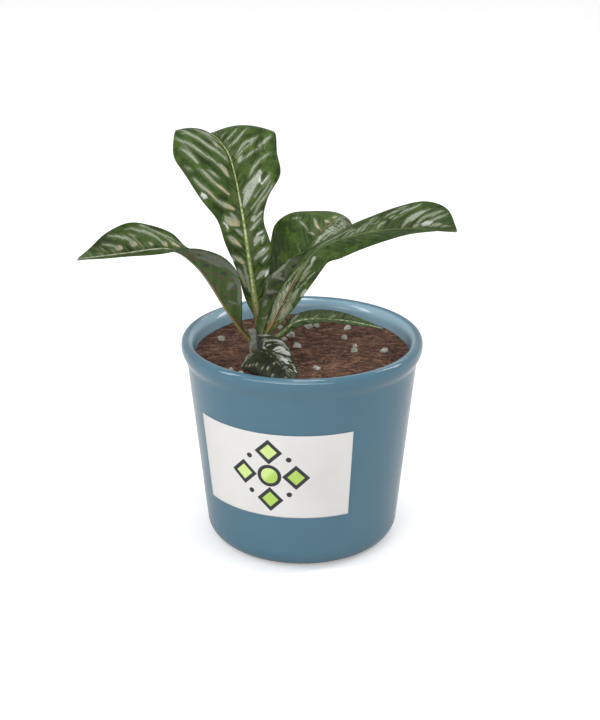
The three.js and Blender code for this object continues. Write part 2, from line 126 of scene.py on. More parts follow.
# ------------------------------ helpers for meshes
def make_piece(
    name: str,
    points: np.ndarray,
    faces: Sequence[Sequence[int]],
    materials: Sequence[Material],
    material_index: Sequence[int] | None = None,
    maps: dict[str, np.ndarray] | None = None,
) -> bpy.types.Object:
    """Makes a smooth mesh object from points in millimetres.

    Args:
        name: The piece's name.
        points: One row of x, y and z for each point.
        faces: The corner numbers of each face, facing out.
        materials: The finishes of the piece, in the order of their slots.
        material_index: The slot of each face, where there is more than one.
        maps: Flat coordinates for the finishes, two for each point, by map name.

    Returns:
        The new object, linked to the scene.
    """
    mesh = bpy.data.meshes.new(name)
    mesh.from_pydata((np.asarray(points) * MM).tolist(), [], [list(face) for face in faces])
    for material in materials:
        mesh.materials.append(material)
    if material_index is not None:
        mesh.polygons.foreach_set("material_index", list(material_index))
    mesh.polygons.foreach_set("use_smooth", [True] * len(mesh.polygons))
    corners = np.empty(len(mesh.loops), int)
    mesh.loops.foreach_get("vertex_index", corners)
    for map_name, values in (maps or {}).items():
        layer = mesh.uv_layers.new(name=map_name)
        layer.data.foreach_set("uv", np.asarray(values, float)[corners].ravel())
    mesh.update()
    piece = bpy.data.objects.new(name, mesh)
    bpy.context.scene.collection.objects.link(piece)
    return piece


def settle(piece: bpy.types.Object, slot: str, *nodes: str) -> None:
    """Puts a piece on the body, hides the solids that it stands for, and reports it with their names.

    Args:
        piece: The dressed piece.
        slot: The name of a material slot in the record; not used.
        nodes: The solids that it replaces.
    """
    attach(piece, BODY)
    if nodes:
        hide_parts(*nodes)
    LOG.info("%s: %d faces, stands for %s", piece.name, len(piece.data.polygons), nodes or "nothing")


def ring_faces(rings: Sequence[Sequence[int]]) -> Faces:
    """Joins rings of points, each to the next, with faces that look out.

    Args:
        rings: The point numbers of each ring, anticlockwise seen from above, and the rings from
            the lowest on the outside upwards. An end that is closed is one point, repeated.

    Returns:
        The faces.
    """
    faces: Faces = []
    for low, high in zip(rings, rings[1:]):
        for step in range(len(low)):
            after = (step + 1) % len(low)
            corners = (low[step], low[after], high[after], high[step])
            face = tuple(dict.fromkeys(corners))
            if len(face) > 2:
                faces.append(face)
    return faces


def revolve(profile: Sequence[Place], segments: int) -> Solid:
    """Turns a (radius, height) profile that starts and ends on the axis round it.

    Args:
        profile: The outline from the underside's middle, up the outside and back down inside.
        segments: How many steps make the full turn.

    Returns:
        The points and the faces.
    """
    points: list[Point] = []
    rings: list[list[int]] = []
    for radius, height in profile:
        first = len(points)
        if radius == 0:
            points.append((0, 0, height))
            rings.append([first] * segments)
            continue
        for step in range(segments):
            angle = FULL_TURN * step / segments
            points.append((radius * math.cos(angle), radius * math.sin(angle), height))
        rings.append(list(range(first, first + segments)))
    return np.array(points), ring_faces(rings)


def soft_profile(stations: Sequence[Place], steps: int) -> list[Place]:
    """Draws a smooth outline through (radius, height) stations."""
    read = curve(stations, np.linspace(0, 1, steps * (len(stations) - 1) + 1))
    return [(float(radius), float(height)) for radius, height in read]


def pebble(random: np.random.Generator, size: Point, roughness: float, detail: int) -> Solid:
    """Makes one uneven grain round the origin.

    Args:
        random: The draw that shapes it.
        size: Its full length, width and height.
        roughness: How far its skin goes in and out, as a share of its radius.
        detail: How many times its twenty faces are split.

    Returns:
        The points and the faces.
    """
    vertices, faces = ball(detail)
    shift = Vector(random.uniform(-50, 50, 3))
    rough = np.array([noise.fractal(Vector(v) * GRAIN_PITCH + shift, 1.0, 2.0, 3) for v in vertices])
    skin = vertices * (1 + roughness * 2 * rough)[:, None] * (np.array(size) / 2)
    turn = random.uniform(0, FULL_TURN)
    tilt = random.normal(0, GRAIN_TILT)
    spin = np.array(
        [[math.cos(turn), -math.sin(turn), 0], [math.sin(turn), math.cos(turn), 0], [0, 0, 1]]
    )
    lean = np.array(
        [[math.cos(tilt), 0, math.sin(tilt)], [0, 1, 0], [-math.sin(tilt), 0, math.cos(tilt)]]
    )
    return skin @ (spin @ lean).T, faces


@cache
def ball(detail: int) -> Solid:
    """Makes a unit ball of triangles, once for each detail.

    Args:
        detail: How many times the twenty faces of the simplest ball are split.

    Returns:
        The points and the faces.
    """
    if detail == 0:
        golden = (1 + math.sqrt(5)) / 2
        corners = [(-1, golden, 0), (1, golden, 0), (-1, -golden, 0), (1, -golden, 0)]
        corners += [(0, y, z) for y, z in ((-1, golden), (1, golden), (-1, -golden), (1, -golden))]
        corners += [(golden, 0, -1), (golden, 0, 1), (-golden, 0, -1), (-golden, 0, 1)]
        return np.array(corners) / math.hypot(1, golden), [
            (0, 11, 5), (0, 5, 1), (0, 1, 7), (0, 7, 10), (0, 10, 11),
            (1, 5, 9), (5, 11, 4), (11, 10, 2), (10, 7, 6), (7, 1, 8),
            (3, 9, 4), (3, 4, 2), (3, 2, 6), (3, 6, 8), (3, 8, 9),
            (4, 9, 5), (2, 4, 11), (6, 2, 10), (8, 6, 7), (9, 8, 1),
        ]
    coarse, faces = ball(detail - 1)
    points = list(coarse)
    middles: dict[tuple[int, int], int] = {}
    split: Faces = []
    for a, b, c in faces:
        for edge in ((a, b), (b, c), (c, a)):
            key = (min(edge), max(edge))
            if key not in middles:
                between = points[edge[0]] + points[edge[1]]
                middles[key] = len(points)
                middles[key[::-1]] = len(points)
                points.append(between / np.linalg.norm(between))
        ab, bc, ca = middles[a, b], middles[b, c], middles[c, a]
        split += [(a, ab, ca), (b, bc, ab), (c, ca, bc), (ab, bc, ca)]
    return np.array(points), split


@dataclass
class Heap:
    """Gathers many small bodies into one mesh."""

    points: list[np.ndarray] = field(default_factory=list)
    faces: Faces = field(default_factory=list)
    tones: list[np.ndarray] = field(default_factory=list)
    count: int = 0

    def add(self, points: np.ndarray, faces: Faces, tone: float) -> None:
        """Adds one body.

        Args:
            points: Its points.
            faces: Its faces, numbered from its own first point.
            tone: A tone from 0 to 1 that its finish can read.
        """
        self.faces += [tuple(corner + self.count for corner in face) for face in faces]
        self.points.append(points)
        self.tones.append(np.full((len(points), 2), tone))
        self.count += len(points)

    def piece(self, name: str, material: Material) -> bpy.types.Object:
        """Makes the gathered bodies into one object."""
        maps = {"tone": np.vstack(self.tones)}
        return make_piece(name, np.vstack(self.points), self.faces, [material], maps=maps)


# ------------------------------ helpers for shader nodes
@dataclass(frozen=True)
class Grain:
    """A noise: its scale, its layers and how strong the finer ones are, and its warp."""

    scale: float | Socket
    detail: float = 2
    rough: float = 0.5
    warp: float = 0


@dataclass(frozen=True)
class Cut:
    """A smooth step: where it starts and ends, and its height after its end and before it."""

    start: float
    end: float
    top: float = 1.0
    bottom: float = 0.0


@dataclass
class Wiring:
    """Adds nodes to one node tree and joins them."""

    tree: Tree

    # The numbers of a Mix node's sockets for colours, which other sockets share their names with.
    MIX_SHARE, MIX_FIRST, MIX_SECOND, MIX_RESULT = 0, 6, 7, 2

    def node(self, kind: str, **settings: object) -> bpy.types.Node:
        """Adds a node.

        Args:
            kind: Its type.
            settings: Its properties.

        Returns:
            The node.
        """
        made = self.tree.nodes.new(kind)
        for name, value in settings.items():
            setattr(made, name, value)
        return made

    def feed(self, target: Socket, value: object) -> None:
        """Feeds a socket.

        Args:
            target: The socket.
            value: Another socket to join it to, or its own value.
        """
        if isinstance(value, Socket):
            self.tree.links.new(value, target)
        elif isinstance(value, tuple) and target.type == "RGBA":
            target.default_value = (*value[:3], 1.0)
        else:
            target.default_value = value

    def plug(self, node: bpy.types.Node, values: Values) -> Outputs:
        """Feeds a node.

        Args:
            node: The node.
            values: What its inputs get, by their names or numbers.

        Returns:
            The node's outputs.
        """
        for key, value in values.items():
            self.feed(node.inputs[key], value)
        return node.outputs

    def add(self, kind: str, values: Values, **settings: object) -> Outputs:
        """Adds a node, feeds it and gives its outputs."""
        return self.plug(self.node(kind, **settings), values)

    def math(self, operation: str, *values: object, clamp: bool = False) -> Socket:
        """Adds a Math node on one to three values."""
        given = dict(enumerate(values))
        return self.add("ShaderNodeMath", given, operation=operation, use_clamp=clamp)[0]

    def length(self, x: Socket, y: Socket) -> Socket:
        """Gives the root of x squared plus y squared."""
        return self.math("SQRT", self.math("MULTIPLY_ADD", x, x, self.math("MULTIPLY", y, y)))

    def ramp(self, value: Socket, cut: Cut) -> Socket:
        """Maps a value through a smooth step."""
        given = dict(enumerate((value, cut.start, cut.end, cut.bottom, cut.top)))
        return self.add("ShaderNodeMapRange", given, interpolation_type="SMOOTHSTEP")[0]

    def mix(self, share: object, first: object, second: object) -> Socket:
        """Mixes two colours by a share."""
        given = {self.MIX_SHARE: share, self.MIX_FIRST: first, self.MIX_SECOND: second}
        return self.add("ShaderNodeMix", given, data_type="RGBA")[self.MIX_RESULT]

    def three_way(self, tint: Socket, low: Colour, middle: Colour, high: Colour) -> Socket:
        """Mixes three colours by a tint that is 0, 0.5 or 1 at each."""
        first = self.mix(self.ramp(tint, Cut(0.0, 0.5)), low, middle)
        return self.mix(self.ramp(tint, Cut(0.5, 1.0)), first, high)

    def noise(self, grain: Grain, place: Socket | None = None) -> Socket:
        """Adds a noise texture.

        Args:
            grain: The noise.
            place: Where it is read, which is the place on the object unless another is given.

        Returns:
            Its value, from 0 to 1.
        """
        given = {
            "Vector": self.place() if place is None else place,
            "Scale": grain.scale, "Detail": grain.detail,
            "Roughness": grain.rough, "Distortion": grain.warp,
        }
        return self.add("ShaderNodeTexNoise", given)["Fac"]

    def parts(self, vector: Socket) -> tuple[Socket, Socket, Socket]:
        """Splits a vector into x, y and z."""
        return tuple(self.add("ShaderNodeSeparateXYZ", {0: vector}))

    def vector(self, x: object, y: object, z: object) -> Socket:
        """Joins x, y and z into a vector."""
        return self.add("ShaderNodeCombineXYZ", {0: x, 1: y, 2: z})[0]

    def flat_map(self, name: str) -> Socket:
        """Reads one of the mesh's flat coordinate maps."""
        return self.node("ShaderNodeUVMap", uv_map=name).outputs[0]

    def place(self) -> Socket:
        """Reads the point's place on the object, in metres."""
        return self.node("ShaderNodeTexCoord").outputs["Object"]

    def stretched(self, scale: Point) -> Socket:
        """Reads the point's place, scaled by its own factor each way."""
        return self.add("ShaderNodeMapping", {"Vector": self.place(), "Scale": scale})[0]

    def bump(self, height: Socket, depth: float, below: Socket | None = None) -> Socket:
        """Turns a height into a normal.

        Args:
            height: The height, from 0 to 1.
            depth: How deep the relief is, in metres.
            below: Another normal, which this one lies on.

        Returns:
            The normal.
        """
        values: Values = {"Strength": 1.0, "Distance": depth, "Height": height}
        if below is not None:
            values["Normal"] = below
        return self.add("ShaderNodeBump", values)[0]

    def group(self, made: Tree, values: dict[str, object]) -> Outputs:
        """Places a node group, feeds its named inputs and gives its outputs."""
        return self.add("ShaderNodeGroup", values, node_tree=made)


class Kind(Enum):
    """The kinds of socket that a node group has."""

    NUMBER = "NodeSocketFloat"
    COLOUR = "NodeSocketColor"


class Group:
    """A shader node group with named inputs and outputs, built once."""

    def __init__(self, name: str, inputs: dict[str, Kind], outputs: dict[str, Kind]) -> None:
        """Makes the group's tree and its sockets.

        Args:
            name: The group's name.
            inputs: The kind of each input, by its name.
            outputs: The kind of each output, by its name.
        """
        self.tree = bpy.data.node_groups.new(name, "ShaderNodeTree")
        for way, sockets in (("INPUT", inputs), ("OUTPUT", outputs)):
            for label, kind in sockets.items():
                self.tree.interface.new_socket(name=label, in_out=way, socket_type=kind.value)
        self.wiring = Wiring(self.tree)
        self.given = self.wiring.node("NodeGroupInput").outputs
        self.result = self.wiring.node("NodeGroupOutput")

    def put(self, values: dict[str, Socket]) -> Tree:
        """Feeds the group's outputs by their names and gives its tree."""
        self.wiring.plug(self.result, values)
        return self.tree


def mottle_group() -> Tree:
    """Builds the group that clouds one colour with another.

    Returns:
        The group.
    """
    made = Group(
        "mottle",
        {"First": Kind.COLOUR, "Second": Kind.COLOUR, "Scale": Kind.NUMBER, "Contrast": Kind.NUMBER},
        {"Colour": Kind.COLOUR, "Mask": Kind.NUMBER},
    )
    w, given = made.wiring, made.given
    cloud = w.noise(Grain(given["Scale"], 4, 0.6, 0.4))
    mask = w.math("MULTIPLY_ADD", w.math("SUBTRACT", cloud, 0.5), given["Contrast"], 0.5, clamp=True)
    return made.put({"Colour": w.mix(mask, given["First"], given["Second"]), "Mask": mask})


@dataclass(frozen=True)
class BladeMaps:
    """What every leaf's finishes read from its maps; the lengths are in millimetres."""

    side_shift: float = 37.0
    band_size: Place = (5.5, 16.0)
    band_grain: Grain = Grain(1.0, 4, 0.6, 0.35)
    thread_size: Place = (1.7, 11.0)
    thread_grain: Grain = Grain(1.0, 3, 0.55, 0.3)
    edge_grain: Grain = Grain(1100.0, 3, 0.6)
    edge_share: float = 0.45
    ragged_grain: Grain = Grain(260.0, 3, 0.6)
    ragged_depth: float = 5.0
    pale_cut: Cut = Cut(-0.4, 0.4)
    halo_cut: Cut = Cut(-2.2, 0.2)
    patch_cut: Cut = Cut(-0.5, 0.4)

    def build(self) -> Tree:
        """Builds the shared group.

        Its outputs are the way along and across the blade, the quilting between its side veins,
        two noises that run along those veins, and the masks and tints of the strokes laid on it.

        Returns:
            The group.
        """
        outputs = (
            "Along", "Vein", "Reach", "Off rib", "Relief", "Bands", "Threads",
            "Pale", "Halo", "Pale tint", "Patch", "Patch tint",
        )
        made = Group(
            "blade",
            {"Spacing": Kind.NUMBER, "Seed": Kind.NUMBER, "Feather": Kind.NUMBER},
            {name: Kind.NUMBER for name in outputs},
        )
        w, given = made.wiring, made.given
        along, across, _ = w.parts(w.flat_map("blade"))
        vein, off_rib, _ = w.parts(w.flat_map("vein"))
        signed = w.math("MULTIPLY_ADD", across, 2.0, -1.0)
        shift = w.math("MULTIPLY_ADD", w.math("SIGN", signed), self.side_shift, given["Seed"])
        wave = w.math("SINE", w.math("MULTIPLY", w.math("DIVIDE", vein, given["Spacing"]), math.pi))
        wide = w.vector(*self.shrunk(w, vein, off_rib, self.band_size), shift)
        thin = w.vector(*self.shrunk(w, vein, off_rib, self.thread_size), shift)
        threads = w.noise(self.thread_grain, thin)
        painted, pale_tint, _ = w.parts(w.flat_map("paint"))
        patched, patch_tint, _ = w.parts(w.flat_map("shade"))
        fine = w.math("SUBTRACT", w.noise(self.edge_grain), 0.5)
        rough_edge = w.math("MULTIPLY_ADD", fine, self.edge_share, threads)
        feather = w.math("MULTIPLY", w.math("SUBTRACT", rough_edge, 0.5), given["Feather"])
        pale_depth = w.math("MULTIPLY_ADD", painted, PAINT_REACH, feather)
        ragged = w.math("SUBTRACT", w.noise(self.ragged_grain), 0.5)
        patch_edge = w.math("MULTIPLY", ragged, self.ragged_depth)
        patch_depth = w.math("MULTIPLY_ADD", patched, PAINT_REACH, patch_edge)
        return made.put({
            "Along": along,
            "Vein": vein,
            "Reach": w.math("ABSOLUTE", signed),
            "Off rib": w.math("ABSOLUTE", off_rib),
            "Relief": w.math("POWER", w.math("ABSOLUTE", wave), QUILT_POWER),
            "Bands": w.noise(self.band_grain, wide),
            "Threads": threads,
            "Pale": w.ramp(pale_depth, self.pale_cut),
            "Halo": w.ramp(pale_depth, self.halo_cut),
            "Pale tint": pale_tint,
            "Patch": w.ramp(patch_depth, self.patch_cut),
            "Patch tint": patch_tint,
        })

    @staticmethod
    def shrunk(w: Wiring, vein: Socket, off_rib: Socket, size: Place) -> tuple[Socket, Socket]:
        """Divides the way along and out from the midrib by a size."""
        return w.math("DIVIDE", vein, size[0]), w.math("DIVIDE", off_rib, size[1])


# ------------------------------ finishes
@dataclass(frozen=True)
class Cloud:
    """How one finish uses the shared colour cloud."""

    scale: float
    contrast: float

    def lay(self, w: Wiring, tree: Tree, first: Colour, second: Colour) -> Outputs:
        """Places the shared group between two colours and gives its outputs."""
        values = {"First": first, "Second": second, "Scale": self.scale, "Contrast": self.contrast}
        return w.group(tree, values)


def new_material(name: str) -> tuple[Material, Wiring, bpy.types.Node]:
    """Makes a material with one Principled BSDF.

    Args:
        name: The finish's name.

    Returns:
        The material, the wiring of its tree and its Principled node.
    """
    material = bpy.data.materials.new(name)
    material.use_nodes = True
    wiring = Wiring(material.node_tree)
    shader = material.node_tree.nodes["Principled BSDF"]
    return material, wiring, shader


@dataclass(frozen=True)
class GlazeFinish:
    """A smooth blue-grey glaze over clay that is bare on the foot ring, painted paler inside the pot as
    painted light.
    """

    deep: Colour = srgb(67, 107, 125)
    pale: Colour = srgb(73, 113, 131)
    clay: Colour = srgb(150, 128, 108)
    # Painted light: a paler colour for the inside of the pot, lifting the inner wall and rim out of their
    # shade.
    inside: Colour = srgb(144, 178, 195)
    cloud: Cloud = Cloud(14.0, 1.2)
    foot: Cut = Cut(0.0012, 0.00072)
    painted_light_radius: Cut = Cut(0.0715, 0.0695)
    painted_light_height: float = 0.12
    roughness: float = 0.1
    roughness_spread: float = 0.06
    clay_roughness: float = 0.6
    ripple: Grain = Grain(38.0)
    ripple_depth: float = 0.00035
    coat: float = 0.35
    coat_roughness: float = 0.08

    def build(self, mottle: Tree) -> Material:
        """Makes the glaze.

        Args:
            mottle: The shared colour cloud.

        Returns:
            The material.
        """
        material, w, shader = new_material("glazed_clay")
        cloud = self.cloud.lay(w, mottle, self.deep, self.pale)
        x, y, height = w.parts(w.place())
        bare = w.ramp(height, self.foot)
        # Painted light: above the soil and inside the given radius the glaze takes the paler colour.
        above = w.math("GREATER_THAN", height, self.painted_light_height)
        inner = w.math("MULTIPLY", w.ramp(w.length(x, y), self.painted_light_radius), above)
        colour = w.mix(inner, cloud["Colour"], self.inside)
        rough = w.math("MULTIPLY_ADD", cloud["Mask"], self.roughness_spread, self.roughness)
        w.plug(shader, {
            "Base Color": w.mix(bare, colour, self.clay),
            "Roughness": w.math("MULTIPLY_ADD", bare, self.clay_roughness, rough, clamp=True),
            "Normal": w.bump(w.noise(self.ripple), self.ripple_depth),
            "Coat Weight": self.coat,
            "Coat Roughness": self.coat_roughness,
        })
        return material


@dataclass(frozen=True)
class PaperFinish:
    """Matt off-white paper with a plain printed tile of a disc and four lozenges."""

    paper: Colour = srgb(223, 222, 220)
    shade: Colour = srgb(217, 215, 212)
    ink: Colour = srgb(44, 46, 50)
    lime: Colour = srgb(176, 208, 98)
    lime_light: Colour = srgb(206, 228, 142)
    disc_radius: float = 6.4
    lozenge_distance: float = 16.5
    lozenge_size: float = 4.9
    dot_distance: float = 12.2
    dot_radius: float = 1.7
    line: float = 1.15
    softness: float = 0.12
    shine_width: float = 3
    stain: Grain = Grain(24.0, 3)
    stain_cut: Cut = Cut(0.35, 0.75)
    fibre: Grain = Grain(900.0, 4, 0.65)
    fibre_depth: float = 0.00006
    roughness: float = 0.78
    ink_gloss: float = 0.2

    def build(self, centre: Place) -> Material:
        """Makes the paper and its print.

        Args:
            centre: The middle of the print on the label's map, in millimetres.

        Returns:
            The material.
        """
        material, w, shader = new_material("label_paper")
        across, up, _ = w.parts(w.flat_map("sheet"))
        x = w.math("ABSOLUTE", w.math("SUBTRACT", across, centre[0]))
        y = w.math("ABSOLUTE", w.math("SUBTRACT", up, centre[1]))
        disc = w.math("SUBTRACT", w.length(x, y), self.disc_radius)
        far = w.math("SUBTRACT", w.math("MAXIMUM", x, y), self.lozenge_distance)
        wide = w.math("ADD", w.math("ABSOLUTE", far), w.math("MINIMUM", x, y))
        lozenge = w.math("MULTIPLY_ADD", wide, math.sqrt(0.5), -self.lozenge_size)
        dot_x = w.math("SUBTRACT", x, self.dot_distance)
        dot_y = w.math("SUBTRACT", y, self.dot_distance)
        dot = w.math("SUBTRACT", w.length(dot_x, dot_y), self.dot_radius)
        shape = w.math("MINIMUM", disc, lozenge)
        inside = Cut(self.softness, -self.softness)
        line = Cut(self.line + self.softness, self.line - self.softness)
        outline = w.ramp(w.math("ABSOLUTE", shape), line)
        inked = w.math("MAXIMUM", outline, w.ramp(dot, inside))
        slant = centre[1] - centre[0]
        shine = Cut(slant - self.shine_width, slant + self.shine_width)
        green = w.mix(w.ramp(w.math("SUBTRACT", up, across), shine), self.lime, self.lime_light)
        paper = w.mix(w.ramp(w.noise(self.stain), self.stain_cut), self.paper, self.shade)
        printed = w.mix(w.ramp(shape, inside), paper, green)
        w.plug(shader, {
            "Base Color": w.mix(inked, printed, self.ink),
            "Roughness": w.math("MULTIPLY_ADD", inked, -self.ink_gloss, self.roughness),
            "Normal": w.bump(w.noise(self.fibre), self.fibre_depth),
        })
        return material


@dataclass(frozen=True)
class SoilFinish:
    """Dark, fibrous potting soil."""

    dark: Colour = srgb(64, 45, 37)
    brown: Colour = srgb(96, 68, 55)
    fibre: Colour = srgb(132, 98, 78)
    fleck: Colour = srgb(42, 38, 38)
    cloud: Cloud = Cloud(130.0, 3.0)
    stretch: Point = (0.22, 1.0, 1.0)
    fibres: Grain = Grain(460.0, 4, 0.6, 0.5)
    fibre_cut: Cut = Cut(0.52, 0.58)
    flecks: Grain = Grain(330.0, 1)
    fleck_cut: Cut = Cut(0.74, 0.78, 0.85)
    dark_crumb: float = 0.45
    light_crumb: float = 0.5
    roughness: float = 0.82
    roughness_spread: float = 0.12
    clods: Grain = Grain(300.0, 5, 0.7)
    clod_depth: float = 0.0012
    fibre_depth: float = 0.0006
    gloss: float = 0.25

    def build(self, mottle: Tree, name: str, by_grain: bool) -> Material:
        """Makes the soil's finish.

        Args:
            mottle: The shared colour cloud.
            name: The material's name.
            by_grain: Whether each crumb has a tone of its own.

        Returns:
            The material.
        """
        material, w, shader = new_material(name)
        cloud = self.cloud.lay(w, mottle, self.dark, self.brown)
        threads = w.noise(self.fibres, w.stretched(self.stretch))
        colour = w.mix(w.ramp(threads, self.fibre_cut), cloud["Colour"], self.fibre)
        colour = w.mix(w.ramp(w.noise(self.flecks), self.fleck_cut), colour, self.fleck)
        if by_grain:
            tone, _, _ = w.parts(w.flat_map("tone"))
            dark = w.mix(self.dark_crumb, colour, self.dark)
            colour = w.mix(tone, dark, w.mix(self.light_crumb, colour, self.fibre))
        low = w.bump(w.noise(self.clods), self.clod_depth)
        w.plug(shader, {
            "Base Color": colour,
            "Roughness": w.math("MULTIPLY_ADD", threads, self.roughness_spread, self.roughness),
            "Normal": w.bump(threads, self.fibre_depth, low),
            "Specular IOR Level": self.gloss,
        })
        return material


@dataclass(frozen=True)
class PerliteFinish:
    """Pale, pitted perlite, dusty with soil."""

    grain: Colour = srgb(186, 187, 180)
    dust: Colour = srgb(152, 150, 138)
    cloud: Cloud = Cloud(260.0, 2.4)
    pit_scale: float = 1500.0
    pit_depth: float = 0.0004
    roughness: float = 0.8
    roughness_spread: float = 0.15

    def build(self, mottle: Tree) -> Material:
        """Makes the perlite's finish.

        Args:
            mottle: The shared colour cloud.

        Returns:
            The material.
        """
        material, w, shader = new_material("perlite")
        cloud = self.cloud.lay(w, mottle, self.grain, self.dust)
        pits = w.add("ShaderNodeTexVoronoi", {"Vector": w.place(), "Scale": self.pit_scale})
        w.plug(shader, {
            "Base Color": cloud["Colour"],
            "Roughness": w.math("MULTIPLY_ADD", cloud["Mask"], self.roughness_spread, self.roughness),
            "Normal": w.bump(pits["Distance"], self.pit_depth),
        })
        return material


@dataclass(frozen=True)
class CaneFinish:
    """A grey-green cane with lighter streaks along it and brown scars."""

    green: Colour = srgb(98, 104, 88)
    grey: Colour = srgb(132, 136, 128)
    brown: Colour = srgb(98, 82, 66)
    stretch: Point = (1.0, 1.0, 0.18)
    streaks: Grain = Grain(620.0, 4, 0.6)
    streak_cut: Cut = Cut(0.4, 0.6)
    streak_depth: float = 0.0004
    scars: Grain = Grain(160.0, 3, 0.6)
    scar_cut: Cut = Cut(0.56, 0.62, 0.8)
    roughness: float = 0.38
    roughness_spread: float = 0.2

    def build(self) -> Material:
        """Makes the cane's finish.

        Returns:
            The material.
        """
        material, w, shader = new_material("cane")
        streak = w.noise(self.streaks, w.stretched(self.stretch))
        stripes = w.mix(w.ramp(streak, self.streak_cut), self.green, self.grey)
        scars = w.ramp(w.noise(self.scars), self.scar_cut)
        w.plug(shader, {
            "Base Color": w.mix(scars, stripes, self.brown),
            "Roughness": w.math("MULTIPLY_ADD", streak, self.roughness_spread, self.roughness),
            "Normal": w.bump(streak, self.streak_depth),
        })
        return material


@dataclass(frozen=True)
class RibFinish:
    """The midrib of a leaf's upper face: two edges with a broken line between them."""

    edge: Colour = srgb(134, 156, 74)
    line: Colour = srgb(208, 212, 180)
    outer: Colour = srgb(134, 156, 74)
    foot: Colour = srgb(146, 112, 66)
    foot_width: float = 2.0
    tip_width: float = 0.32
    taper: Place = (0.1, 0.7)
    sheath: Cut = Cut(0.0, 0.12, 1.0, 0.6)
    foot_end: float = 0.28
    foot_share: float = 0.85
    outer_start: float = 0.95
    fade: float = 0.1
    dash_size: float = 0.6
    dash: float = 2.2
    fill: float = 0.42
    line_cut: Cut = Cut(0.56, 0.32)
    border: Cut = Cut(0.25, -0.2)

    def lay(self, w: Wiring, blade: Outputs, seed: float, colour: Socket) -> Socket:
        """Lays the midrib over a colour.

        Args:
            w: The material's wiring.
            blade: The outputs of the blade's group.
            seed: Where its noise is read.
            colour: The colour below.

        Returns:
            The colour with its midrib.
        """
        along, off_rib = blade["Along"], blade["Off rib"]
        width = w.ramp(along, Cut(*self.taper, self.tip_width, self.foot_width))
        width = w.math("MULTIPLY", width, w.ramp(along, self.sheath))
        across = w.math("DIVIDE", off_rib, self.dash_size)
        place = w.vector(across, w.math("DIVIDE", blade["Vein"], self.dash), seed)
        dashes = w.ramp(w.noise(Grain(1.0), place), Cut(self.fill, self.fill + self.fade))
        core = w.math("MULTIPLY", w.ramp(w.math("DIVIDE", off_rib, width), self.line_cut), dashes)
        outer_end = self.outer_start + self.fade
        tone = w.mix(w.ramp(along, Cut(self.outer_start, outer_end)), self.edge, self.outer)
        core = w.math("MULTIPLY", core, w.ramp(along, Cut(outer_end, self.outer_start)))
        tone = w.mix(core, tone, self.line)
        tone = w.mix(w.ramp(along, Cut(self.foot_end, 0.0, self.foot_share)), tone, self.foot)
        return w.mix(w.ramp(w.math("SUBTRACT", off_rib, width), self.border), colour, tone)


